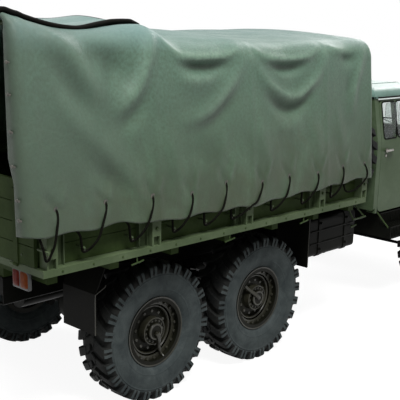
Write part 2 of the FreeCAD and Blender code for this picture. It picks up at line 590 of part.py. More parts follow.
def springs():
    """Front springs under the rails, and the bogie's springs on the trunnion hubs."""
    axle_top = "tyre_radius + axle_tube_radius + 12"
    bottom = "%s + %d * leaf_thickness - %s + 1" % (axle_top, FRONT_LEAVES - 1, BOW_LIFT)
    front = leaf_pack("front_spring_right", "front_axle_x", bottom, "-front_spring_y", "front_spring_half",
                      FRONT_LEAVES, 1)
    base = "trunnion_z + trunnion_hub_radius + %s" % BOW_LIFT
    rear = leaf_pack("rear_spring_right", TRUNNION, base, "-rear_spring_y", "rear_spring_half", REAR_LEAVES, -1)
    end_z = "%s + spring_slope * front_spring_half" % bottom
    hangers = []
    for end, sign in (("rear", -1), ("front", 1)):
        x = "front_axle_x + %d * (front_spring_half - 20)" % sign
        hangers.append(slab("spring_hanger_" + end, "side", [
            ("%s - 60" % x, "frame_top - frame_height"), ("%s - 30" % x, end_z + " + leaf_thickness + seat_gap"),
            ("%s + 30" % x, end_z + " + leaf_thickness + seat_gap"), ("%s + 60" % x, "frame_top - frame_height")],
            "-front_spring_y - leaf_width / 2", "-front_spring_y + leaf_width / 2"))
    node("leaf_springs", both("springs_and_hangers", group("springs_right", front, rear, *hangers)))


def bogie():
    """Trunnion tube and its brackets, the hubs under the springs, and the torque rods."""
    outer = "rear_spring_y + leaf_width / 2 + 12"
    tube = rod("trunnion_tube", "y", "trunnion_radius", (TRUNNION, minus(outer), "trunnion_z"),
               "2 * (%s)" % outer)
    pieces = [tube]
    for side, sign in (("left", 1), ("right", -1)):
        start = "rear_spring_y - leaf_width / 2" if sign > 0 else "-rear_spring_y - leaf_width / 2"
        pieces.append(rod("trunnion_hub_" + side, "y", "trunnion_hub_radius", (TRUNNION, start, "trunnion_z"),
                          "leaf_width"))
        span = ("frame_half_width - frame_flange", "frame_half_width")
        if sign < 0:
            span = (minus(span[1]), minus(span[0]))
        pieces.append(slab("trunnion_bracket_" + side, "side", [
            (TRUNNION + " - 170", "frame_top - frame_height"), (TRUNNION + " - 70", "trunnion_z - 75", "40"),
            (TRUNNION + " + 70", "trunnion_z - 75", "40"), (TRUNNION + " + 170", "frame_top - frame_height")],
            span[0], span[1]))
    rods = [fuse("bogie_trunnion", *pieces)]
    for side, sign in (("left", 1), ("right", -1)):
        for end, way in (("middle", 1), ("rear", -1)):
            y = "%d * (rear_spring_y - leaf_width)" % sign
            drop = " - torque_rod_radius - 10 - seat_gap"
            name = "torque_rod_%s_%s" % (end, side)
            inner = ("%s + %d * 40" % (TRUNNION, way), y, "trunnion_z - 75" + drop)
            outer = ("%s + %d * bogie_spread / 2" % (TRUNNION, way), y, AXLE_Z + " - axle_tube_radius" + drop)
            eyes = [rod("%s_%s_eye" % (name, which), "y", "torque_rod_radius + 10", (x, y + " - 30", z), "60")
                    for which, (x, middle, z) in (("inner", inner), ("outer", outer))]
            rods.append(fuse(name, bar(name + "_tube", "torque_rod_radius", inner, outer), *eyes))
    node("bogie_linkage", *rods)


def wheels():
    """One rim with hub and drum, and one tyre, drawn about +Z and set at each wheel."""
    well = "bead_radius - rim_wall"
    rim_edge = "rim_half_width - flange_wall"
    disc_back = "disc_face - disc_thickness"
    bore = "spindle_radius + bearing_gap"
    rim = turned("rim", [
        (bore, "-hub_inner_end"), ("hub_radius - 5", "-hub_inner_end"), ("hub_radius - 5", disc_back + " - 30"),
        ("drum_radius - drum_wall", disc_back + " - 30", "20"), ("drum_radius - drum_wall", "-drum_depth"),
        ("drum_radius", "-drum_depth"), ("drum_radius", disc_back), (well, disc_back),
        (well, "-rim_half_width"), ("flange_radius", "-rim_half_width"), ("flange_radius", minus(rim_edge)),
        ("bead_radius", minus(rim_edge)), ("bead_radius", rim_edge), ("flange_radius", rim_edge),
        ("flange_radius", "rim_half_width"), (well, "rim_half_width"), (well, "disc_face"),
        ("drum_radius", "disc_face", "30"), ("hub_radius + 30", "disc_face + 22", "30"),
        ("hub_radius", "disc_face + 22"), ("hub_radius", "hub_outer_end", "12"),
        ("hub_cap_radius", "hub_outer_end"), ("hub_cap_radius", "hub_outer_end + hub_cap_height", "8"),
        ("0", "hub_outer_end + hub_cap_height"), ("0", "spindle_depth"), (bore, "spindle_depth")])
    seat = "bead_radius + bead_gap"
    bead = rim_edge + " - bead_gap"
    half = "tyre_width / 2"
    tyre = turned("tyre", [
        (seat, minus(bead)), ("flange_radius + 3", minus(bead)), ("flange_radius + 25", minus(half) + " + 12", "15"),
        ("(flange_radius + tyre_radius) / 2", minus(half), "90"), ("tyre_radius - 60", minus(half) + " + 6", "40"),
        ("tyre_radius", minus(half) + " + 30", "22"), ("tyre_radius", half + " - 30", "22"),
        ("tyre_radius - 60", half + " - 6", "40"), ("(flange_radius + tyre_radius) / 2", half, "90"),
        ("flange_radius + 25", half + " - 12", "15"), ("flange_radius + 3", bead), (seat, bead)])
    for name, x, side in WHEELS:
        turn = Rotation(Vector(1, 0, 0), -90 * side)
        y = "%d * wheel_y" % side
        node("rim_" + name, place(group("rim_at_" + name, rim), x, y, AXLE_Z, turn))
        node("tyre_" + name, place(group("tyre_at_" + name, tyre), x, y, AXLE_Z, turn))
    turn = Rotation(Vector(0, 1, 0), -90)
    node("spare_rim", place(group("rim_spare", rim), "spare_x", "spare_y", "spare_z", turn))
    node("spare_tyre", place(group("tyre_spare", tyre), "spare_x", "spare_y", "spare_z", turn))
    post = ("spare_x + tyre_width / 2 + 10", "spare_x + tyre_width / 2 + 70")
    carrier = fuse(
        "spare_carrier",
        rod("spare_stub", "x", "spindle_radius + 10", ("spare_x + hub_inner_end + seat_gap", "spare_y", "spare_z"),
            "tyre_width / 2 + 20 - hub_inner_end"),
        block("spare_post", post, ("spare_y - 55", "spare_y + 55"), ("frame_top + 30", "spare_z + 60")),
        block("spare_foot", post, ("spare_y - 55", minus("frame_half_width - frame_flange")),
              ("frame_top", "frame_top + 40")))
    return [carrier]


# ---------------------------------------------------------------- cab

def cab_section(name, wall, low, high, x0, x1, sign=-1):
    """A stretch of cab side: upright to the belt, leaning in above it."""
    lean = "(cab_half_width - cab_roof_half_width) / (cab_top - belt_z)"
    outer_low = "cab_half_width"
    at_high = "cab_half_width - (%s - belt_z) * %s" % (high, lean)
    corners = [(outer_low, low), (outer_low, "belt_z", "400"), (at_high, high), (at_high + " - " + wall, high),
               (outer_low + " - " + wall, "belt_z", "400"), (outer_low + " - " + wall, low)]
    if sign < 0:
        corners = [(minus(corner[0]),) + corner[1:] for corner in corners]
    return slab(name, "front", corners, x0, x1)


def side_outline(name, x0, x1, z0, z1, radius):
    """A rounded rectangle seen from the side, right through the cab."""
    return slab(name, "side", [(x0, z0, radius), (x1, z0, radius), (x1, z1, radius), (x0, z1, radius)],
                "-cab_half_width - 50", "0")


def doors():
    panel = cab_section("door_panel", "door_wall", "cab_bottom + panel_gap", "cab_top - 25", "door_rear_x",
                        "door_front_x")
    edge = side_outline("door_edge", "door_rear_x", "door_front_x", "cab_bottom + panel_gap", "cab_top - 25", "70")
    rear_pane = side_outline("door_rear_pane", "window_rear_x", "window_post_x - window_post / 2",
                             "window_bottom", "window_top", "30")
    main_pane = side_outline("door_main_pane", "window_post_x + window_post / 2", "window_front_x",
                             "window_bottom", "window_top", "45")
    right = cut("door_made", shared("door_blank", panel, edge), rear_pane, main_pane)
    grip = fuse("door_handle",
                rod("handle_stem", "y", "14", ("handle_x", "-cab_half_width - 22", "handle_z"), "25"),
                slab("handle_bar", "side", [
                    ("handle_x - 17", "handle_z - 12", "10"), ("handle_x + 98", "handle_z - 12", "10"),
                    ("handle_x + 98", "handle_z + 12", "10"), ("handle_x - 17", "handle_z + 12", "10")],
                    "-cab_half_width - 34",
                     "-cab_half_width - 20"))
    hinges = []
    for number, z in enumerate(DOOR_HINGES, 1):
        low = "%s + hinge_length + hinge_gap" % z
        hinges.append(rod("door_barrel_%d" % number, "z", "hinge_radius", ("door_hinge_x", DOOR_HINGE_Y, low),
                          "hinge_length"))
        hinges.append(block("door_leaf_%d" % number, ("door_hinge_x - 60", "door_hinge_x"),
                            (minus("cab_half_width + hinge_leaf"), minus("cab_half_width - 1")),
                            (low, low + " + hinge_length")))
    right = fuse("door_with_fittings", right, grip, *hinges)
    node("door_right", right)
    node("door_left", mirrored("door_left_made", right))
    inner = "(door_wall - glass_thickness) / 2"
    sheet_glass = cab_section("glass_sheet", "glass_thickness", "window_bottom + 0.3", "window_top - 0.3",
                              "window_rear_x", "window_front_x")
    place(sheet_glass, "0", inner, "0")
    panes = fuse("pane_shapes",
                 side_outline("rear_pane_edge", "window_rear_x + 0.3", "window_post_x - window_post / 2 - 0.3",
                              "window_bottom + 0.3", "window_top - 0.3", "29.7"),
                 side_outline("main_pane_edge", "window_post_x + window_post / 2 + 0.3", "window_front_x - 0.3",
                              "window_bottom + 0.3", "window_top - 0.3", "44.7"))
    glass = shared("door_glass", sheet_glass, panes)
    node("door_glass_right", glass)
    node("door_glass_left", mirrored("door_glass_left_made", glass))


def cab():
    """Floor and bulkhead, back wall with its corner posts, windscreen frame, roof."""
    half = "cab_half_width"
    inside = "cab_half_width - door_wall"
    floor = block("cab_floor_pan", ("cab_rear_x + cab_wall", "cab_front_x - cab_wall"),
                  (minus(inside), inside), ("floor_bottom", "floor_bottom + floor_wall"))
    sill = block("cab_sill", ("cab_rear_x + cab_wall", "door_front_x + panel_gap"),
                 (minus(inside + " - 3"), minus(inside + " - 60")), ("cab_bottom", "floor_bottom"))
    bulkhead = block("bulkhead_panel", ("cab_front_x - cab_wall", "cab_front_x"),
                     ("-cab_half_width + 60", "cab_half_width - 60"), ("floor_bottom", "cowl_top - 30"))
    shelf = slab("cowl_shelf", "side", [
        ("windscreen_base_x + 12", "cowl_top - 30"), ("cab_front_x", "cowl_top - 30"),
        ("cab_front_x", "cowl_top", "4"), ("windscreen_base_x + 12", "cowl_top + 22")],
        "-cab_half_width + 60", "cab_half_width - 60")
    bases = [block("seat_base_" + name, ("seat_rear_x + 100", "seat_front_x - 30"),
                   (low + " + 20", high + " - 20"), ("floor_bottom + floor_wall", "seat_bottom - seat_gap"))
             for name, low, high in SEATS]
    arches = both("cab_arches", rod("cab_arch", "y", "arch_radius", ("front_axle_x", "-cab_half_width - 60", AXLE_Z),
                                    "cab_half_width + 60 - frame_half_width - 30"))
    mounts = [block("cab_mount_%s" % end, (x, "%s + 90" % x), (minus("frame_half_width"), "-frame_half_width + 60"),
                    ("frame_top", "floor_bottom")) for end, x in (("rear", "cab_mount_rear_x"), ("front", "cab_mount_front_x"))]
    barrels = [rod("hood_hinge_" + side, "y", "hinge_radius", ("hood_hinge_x", y, "hood_hinge_z"), "hinge_length")
               for side, y in (("left", "hood_hinge_y"), ("right", "-hood_hinge_y - hinge_length"))]
    front = cut("bulkhead_made", fuse("bulkhead", bulkhead, shelf), arches)
    node("cab_floor", cut("cab_floor_made", floor, arches), both("cab_sills", sill), front, *bases, *barrels,
         both("cab_mounts", group("cab_mounts_right", *mounts)))
    # back wall
    lean = "(cab_half_width - cab_roof_half_width)"
    back = slab("back_panel", "front", [
        (minus(half), "frame_top + 5", "30"), (half, "frame_top + 5", "30"), (half, "belt_z", "400"),
        ("cab_roof_half_width", "cab_top"), (minus("cab_roof_half_width"), "cab_top"),
        (minus(half), "belt_z", "400")], "cab_rear_x", "cab_rear_x + cab_wall")
    windows = [slab("back_window_" + side, "front", [
        (low, "window_bottom + 20", "40"), (high, "window_bottom + 20", "40"),
        (high, "window_top - 30", "40"), (low, "window_top - 30", "40")], "cab_rear_x - 5",
        "cab_rear_x + cab_wall + 5") for side, low, high in (
            ("left", "back_window_inner", "cab_half_width - back_window_inset"),
            ("right", "-cab_half_width + back_window_inset", "-back_window_inner"))]
    back_cut = cut("back_wall_made", back, *windows)
    posts = []
    for side, sign in (("right", -1), ("left", 1)):
        posts.append(cab_section("corner_post_" + side, "door_wall", "cab_bottom", "cab_top",
                                 "cab_rear_x + cab_wall", "door_rear_x - panel_gap", sign))
    node("cab_back_wall", fuse("cab_back_body", back_cut, *posts))
    # front: pillars beside the doors and the raked windscreen frame
    pillars = []
    for side, sign in (("right", -1), ("left", 1)):
        whole = cab_section("front_post_blank_" + side, "door_wall", "cab_bottom", "cab_top",
                            "door_front_x + panel_gap", "cab_front_x", sign)
        face = slab("front_post_face_" + side, "side", [
            ("door_front_x", "cab_bottom - 5"), ("cab_front_x", "cab_bottom - 5"), ("cab_front_x", "cowl_top", "40"),
            ("windscreen_base_x", "cowl_top + 20", "60"), ("windscreen_top_x", "cab_top + 5"),
            ("door_front_x", "cab_top + 5")], minus(half + " + 5"), half + " + 5")
        pillars.append(shared("front_post_" + side, whole, face))
    base = "windscreen_base_x"
    top = "windscreen_top_x"
    leaning = slab("screen_slope", "side", [
        (base + " - windscreen_wall", "cowl_top - 30"), (base + " + 12", "cowl_top - 30"), (base + " + 12", "cowl_top"),
        (top, "cab_top"), (top + " - windscreen_wall", "cab_top")], minus(half), half)
    face = slab("screen_face", "front", [
        (minus(inside), "cowl_top - 30"), (inside, "cowl_top - 30"), (inside, "belt_z", "400"),
        ("cab_roof_half_width - door_wall", "cab_top"), (minus("cab_roof_half_width - door_wall"), "cab_top"),
        (minus(inside), "belt_z", "400")], "door_front_x - 60", "cab_front_x + 60")
    screens = [slab("screen_hole_" + side, "front", corners, "door_front_x - 80", "cab_front_x + 80")
               for side, corners in (("left", SCREEN), ("right", [(minus(c[0]),) + c[1:] for c in SCREEN]))]
    frame_piece = cut("screen_frame", shared("screen_blank", leaning, face), *screens)
    hinges = []
    for number, z in enumerate(DOOR_HINGES, 1):
        hinges.append(fuse("pillar_hinge_%d" % number,
                           rod("pillar_barrel_%d" % number, "z", "hinge_radius",
                               ("door_hinge_x", DOOR_HINGE_Y, z), "hinge_length"),
                           block("pillar_leaf_%d" % number, ("door_hinge_x", "door_hinge_x + 45"),
                                 (minus("cab_half_width + hinge_leaf"), minus(half)), (z, "%s + hinge_length" % z))))
    body = cut("cab_front_cut", fuse("cab_front_body", frame_piece, *pillars), arches)
    node("cab_front_frame", fuse("cab_front_made", body, both("pillar_hinges", group("pillar_hinges_right", *hinges))))
    pane = slab("screen_pane", "side", [
        (base + " - 20", "cowl_top"), (base + " - 15", "cowl_top"), (top + " - 15", "cab_top"),
        (top + " - 20", "cab_top")], minus(half), half)
    inner_corners = [("%s %s pane_gap" % (SCREEN[number][0], along), "%s %s pane_gap" % (SCREEN[number][1], up),
                      "40 - pane_gap") for number, (along, up) in enumerate(("++", "-+", "--", "+-"))]
    edge = slab("screen_pane_edge", "front", inner_corners, "door_front_x - 80", "cab_front_x + 80")
    right_pane = mirrored("screen_pane_right", shared("screen_pane_left", pane, edge))
    back_panes = [slab("back_pane_" + side, "front", [
        (low, "window_bottom + 20 + pane_gap", "40 - pane_gap"), (high, "window_bottom + 20 + pane_gap", "40 - pane_gap"),
        (high, "window_top - 30 - pane_gap", "40 - pane_gap"), (low, "window_top - 30 - pane_gap", "40 - pane_gap")],
        "cab_rear_x + 15",
        "cab_rear_x + 15 + glass_thickness")
        for side, low, high in (
            ("left", "back_window_inner + pane_gap", "cab_half_width - back_window_inset - pane_gap"),
            ("right", "-cab_half_width + back_window_inset + pane_gap", "-back_window_inner - pane_gap"))]
    node("cab_glass", right_pane, doc.getObject("screen_pane_left"), *back_panes)
    # roof: crowned both ways, with a rolled edge that is the drip rail
    crown = roof_shell("roof_outer", "0")
    hollow = roof_shell("roof_inner", "roof_wall")
    rail = slab("drip_rail", "plan", [
        ("cab_rear_x - 22", "-cab_roof_half_width - 22", "60"), ("windscreen_top_x + 34", "-cab_roof_half_width - 22", "90"),
        ("windscreen_top_x + 34", "cab_roof_half_width + 22", "90"),
        ("cab_rear_x - 22", "cab_roof_half_width + 22", "60")], "cab_top + 0", "cab_top + 12")
    opening = slab("roof_opening", "plan", [
        ("cab_rear_x + 20", "-cab_roof_half_width + 30", "40"), ("windscreen_top_x - 20", "-cab_roof_half_width + 30", "40"),
        ("windscreen_top_x - 20", "cab_roof_half_width - 30", "40"),
        ("cab_rear_x + 20", "cab_roof_half_width - 30", "40")], "cab_top - 5", "cab_top + 20")
    node("cab_roof", cut("cab_roof_made", fuse("cab_roof_blank", crown, rail), hollow, opening))


# the doors turn on barrels that stand just proud of the cab side, above the wing
DOOR_HINGES = ("door_hinge_low", "door_hinge_high")
SEATS = (("bench", "-(cab_half_width - seat_side_gap)", "bench_inner_y"),
         ("driver", "driver_inner_y", "(cab_half_width - driver_side_gap)"))
DOOR_HINGE_Y = "-(cab_half_width + hinge_radius + 0.5)"
SCREEN = (("45", "cowl_top + 45", "40"), ("cab_half_width - 130", "cowl_top + 45", "40"),
          ("cab_roof_half_width - 95", "cab_top - 45", "40"), ("45", "cab_top - 45", "40"))


def roof_shell(name, inset):
    rear = "cab_rear_x - 8 + %s" % inset
    front = "windscreen_top_x + 22 - %s" % inset
    side = "cab_roof_half_width + 8 - %s" % inset
    top = "roof_top - %s" % inset
    base = "cab_top" if inset == "0" else "cab_top + 12 - 20"
    along = slab(name + "_along", "side", [
        (rear, base), (front, base), (front, "cab_top + 60", "70"), ("(%s + %s) / 2" % (rear, front), top, "2500"),
        (rear, "cab_top + 75", "70")], minus("cab_half_width"), "cab_half_width")
    across = slab(name + "_across", "front", [
        (minus(side), base), (side, base), (side, "cab_top + 85", "90"), ("0", top, "3000"),
        (minus(side), "cab_top + 85", "90")], "cab_rear_x - 100", "cab_front_x")
    return shared(name, along, across)


def interior():
    """Dashboard, steering wheel on its column, driver's seat and the two-place bench."""
    node("dashboard", slab("dashboard_body", "side", [
        ("windscreen_base_x - windscreen_wall - 10", "cowl_top - 45", "15"), ("cab_front_x - cab_wall - seat_gap", "cowl_top - 45"),
        ("cab_front_x - cab_wall - seat_gap", "cowl_top - 330"), ("windscreen_base_x - windscreen_wall + 20", "cowl_top - 330", "25"),
        ("windscreen_base_x - windscreen_wall - 10", "cowl_top - 250", "20")],
        "-cab_half_width + 75", "cab_half_width - 75"))
    ring = doc.addObject("Part::Torus", "steering_ring")
    bind(ring, "Radius1", "steering_wheel_radius")
    bind(ring, "Radius2", "steering_ring_radius")
    hub = rod("steering_hub", "z", "36", ("0", "0", "-60"), "70")
    spokes = [rod("steering_spoke_%s" % name, axis, "9", start, "2 * steering_wheel_radius")
              for name, axis, start in (("across", "y", ("0", minus("steering_wheel_radius"), "0")),
                                        ("along", "x", (minus("steering_wheel_radius"), "0", "0")))]
    column = rod("steering_column", "z", "24", ("0", "0", "-618.5"), "571.5")
    wheel = fuse("steering_wheel_body", ring, hub, column, *spokes)
    node("steering_wheel", place(wheel, "steering_wheel_x", "cab_half_width - steering_wheel_inset",
                                 "steering_wheel_z", Rotation(Vector(0, 1, 0), -38)))
    seats = []
    for name, low, high in SEATS:
        cushion = slab(name + "_cushion", "side", [
            ("seat_rear_x", "seat_bottom", "30"), ("seat_front_x", "seat_bottom", "30"),
            ("seat_front_x", "seat_top", "55"), ("seat_rear_x", "seat_top", "15")],
            low, high)
        backrest = slab(name + "_backrest", "side", [
            ("seat_rear_x + 5", "seat_top + seat_gap", "20"), ("seat_rear_x + 125", "seat_top + seat_gap", "30"),
            ("seat_rear_x + 85", "backrest_top", "45"), ("seat_rear_x + 5", "backrest_top", "20")],
            low, high)
        seats += [cushion, backrest]
    node("cab_seats", *seats)



def front_end():
    """Bonnet, wings with their arches, side panels, grille and headlamps."""
    # bonnet: tapers to the front and drops; open underneath
    outer = bonnet_form("bonnet_outer", "0")
    inner = bonnet_form("bonnet_inner", "hood_wall")
    fittings = []
    for side, y in (("left", "hood_hinge_y - hinge_length - hinge_gap"), ("right", "-hood_hinge_y + hinge_gap")):
        fittings.append(rod("hood_barrel_" + side, "y", "hinge_radius", ("hood_hinge_x", y, "hood_hinge_z"),
                            "hinge_length"))
        fittings.append(block("hood_leaf_" + side, ("hood_hinge_x", "hood_hinge_x + 40"), (y, y + " + hinge_length"),
                              ("hood_hinge_z - 14", "hood_hinge_z - hinge_leaf")))
    node("hood", fuse("hood_with_hinges", cut("hood_made", outer, inner), *fittings))
    wing_outer = wing_form("wing_outer", "0", minus("fender_half_width"), minus("fender_inner_y"))
    wing_inner = wing_form("wing_inner", "fender_wall", minus("fender_half_width - fender_wall"),
                           minus("fender_inner_y - 10"))
    arch = rod("wing_arch", "y", "arch_radius", ("front_axle_x", "-fender_half_width - 20", AXLE_Z),
               "fender_half_width - fender_inner_y + 40")
    beside_cab = block("wing_beside_cab", ("fender_rear_x - 20", "cab_front_x + seat_gap"),
                       (minus("cab_half_width + seat_gap"), "0"), ("fender_front_bottom - 20", "fender_top + 20"))
    wing = cut("wing_made", wing_outer, wing_inner, arch, beside_cab)
    # side panels between wing and bonnet follow the bonnet's taper
    side = slab("bonnet_side", "plan", [
        ("cab_front_x + seat_gap", "-hood_rear_half_width"), ("hood_front_x - 55.3", "-hood_front_half_width"),
        ("hood_front_x - 55.3", "-hood_front_half_width + hood_wall"),
        ("cab_front_x + seat_gap", "-hood_rear_half_width + hood_wall")], "fender_top + seat_gap",
        "hood_bottom - panel_gap")
    node("front_fenders", both("wings", wing), both("bonnet_sides", side))
    shell = block("grille_shell", ("hood_front_x - 55", "hood_front_x"),
                  ("-hood_front_half_width", "hood_front_half_width"), ("frame_top + seat_gap", "hood_bottom - panel_gap"))
    slots = []
    count = 11
    for number in range(count):
        y = "hood_front_half_width * %s" % ((number - (count - 1) / 2) * 0.158)
        slots.append(slab("grille_slot_%d" % number, "front", [
            (y + " - 26", "frame_top + 60", "20"), (y + " + 26", "frame_top + 60", "20"), (y + " + 26", "hood_bottom - 70", "20"),
            (y + " - 26", "hood_bottom - 70", "20")], "hood_front_x - 60", "hood_front_x + 5"))
    node("grille_panel", cut("grille_made", shell, *slots))
    lamp = turned("headlamp_form", [
        ("0", "0"), ("headlamp_radius - 25", "0"), ("headlamp_radius", "headlamp_depth - 20", "15"),
        ("headlamp_radius", "headlamp_depth - 8", "5"), ("headlamp_radius - 12", "headlamp_depth - 8"),
        ("0", "headlamp_depth")])
    lamps = [place(group("headlamp_" + side, lamp), "fender_front_x + 0.2", "%d * headlamp_y" % sign,
                   "headlamp_z", ALONG["x"]) for side, sign in (("left", 1), ("right", -1))]
    node("headlamps", *lamps)


def bonnet_form(name, inset):
    rear = "cab_front_x + 19" + ("" if inset == "0" else " - 5")
    low = "hood_bottom" + ("" if inset == "0" else " - 5")
    front = "hood_front_x - %s" % inset
    side = slab(name + "_side", "side", [
        (rear, low), (front, low), (front, "hood_front_top - %s" % inset, "45"),
        ("(cab_front_x + hood_front_x) / 2", "(cowl_top + hood_front_top) / 2 + 14 - %s" % inset, "4000"),
        (rear, "cowl_top + 3 - %s" % inset)], minus("hood_rear_half_width"), "hood_rear_half_width")
    wide = "hood_rear_half_width - %s" % inset
    slim = "hood_front_half_width - %s" % inset
    plan = slab(name + "_plan", "plan", [
        (rear, minus(wide)), (front, minus(slim), "60"), (front, slim, "60"), (rear, wide)],
        "hood_bottom - 10", "cowl_top + 50")
    across = slab(name + "_across", "front", [
        (minus(wide), "hood_bottom - 10"), (wide, "hood_bottom - 10"),
        (wide, "cowl_top - 70 - %s" % inset, "90"), ("0", "cowl_top + 24 - %s" % inset, "2500"),
        (minus(wide), "cowl_top - 70 - %s" % inset, "90")], "cab_front_x - 20", "hood_front_x + 10")
    return shared(name, shared(name + "_block", side, plan), across)


def wing_form(name, inset, y0, y1):
    low = "fender_front_bottom" + ("" if inset == "0" else " - 5")
    rear_low = "cab_bottom" + ("" if inset == "0" else " - 250")
    return slab(name, "side", [
        ("fender_rear_x + %s" % inset, rear_low), ("fender_rear_x + %s" % inset, "fender_top - %s" % inset, "90"),
        ("fender_front_x - 120", "fender_top - 20 - %s" % inset, "120"),
        ("fender_front_x - %s" % inset, "fender_top - 140", "60"), ("fender_front_x - %s" % inset, low),
        ("fender_front_x - 330", low), ("fender_front_x - 330", rear_low)], y0, y1)


def steps():
    """Running board: a ribbed skirt, a tread and end plates, open to the inside and below."""
    outer = block("step_box", ("step_rear_x", "step_front_x"), (minus("step_half_width"), minus("step_inner_y")),
                  ("step_bottom", "step_top"))
    recess = block("step_recess", ("step_rear_x - 5", "step_front_x + 5"),
                   (minus("step_half_width + 5"), minus("cab_half_width - 10")), ("step_bottom + 130", "step_top + 5"))
    deeper = block("step_hollow_low", ("step_rear_x + step_wall", "step_front_x - step_wall"),
                   (minus("step_half_width - step_wall"), minus("step_inner_y - 5")),
                   ("step_bottom - 5", "step_bottom + 130 - step_wall"))
    inner_hollow = block("step_hollow_high", ("step_rear_x + step_wall", "step_front_x - step_wall"),
                         (minus("cab_half_width - 10 - step_wall"), minus("step_inner_y - 5")),
                         ("step_bottom - 5", "step_top - step_wall"))
    step = cut("step_made", cut("step_blank", outer, recess), deeper, inner_hollow)
    bracket = block("step_bracket", ("1400", "1450"), (minus("step_inner_y + 20"), minus("frame_half_width")),
                    ("step_top - 90", "step_top - step_wall"))
    node("running_boards", both("steps", step))
    return [both("step_brackets", bracket)]


# ---------------------------------------------------------------- cargo body

def grooved_board(name, y_or_x, plane, low, high, groove_side):
    """A wall of planks: grooves on its outer face mark the seams."""
    inner, outer = y_or_x
    corners = [(inner, "bed_top + board_gap"), (outer, "bed_top + board_gap")]
    way = groove_side
    for number in (1, 2, 3):
        seam = "bed_top + %d * plank_height" % number
        corners += [(outer, seam + " - plank_groove / 2"),
                    ("%s - %s * plank_groove_depth" % (outer, way), seam + " - plank_groove / 2"),
                    ("%s - %s * plank_groove_depth" % (outer, way), seam + " + plank_groove / 2"),
                    (outer, seam + " + plank_groove / 2")]
    corners += [(outer, "board_top"), (inner, "board_top")]
    return slab(name, plane, corners, low, high)


GATE_HINGES = ("(-bed_half_width + gate_hinge_inset)", "0", "(bed_half_width - gate_hinge_inset)")


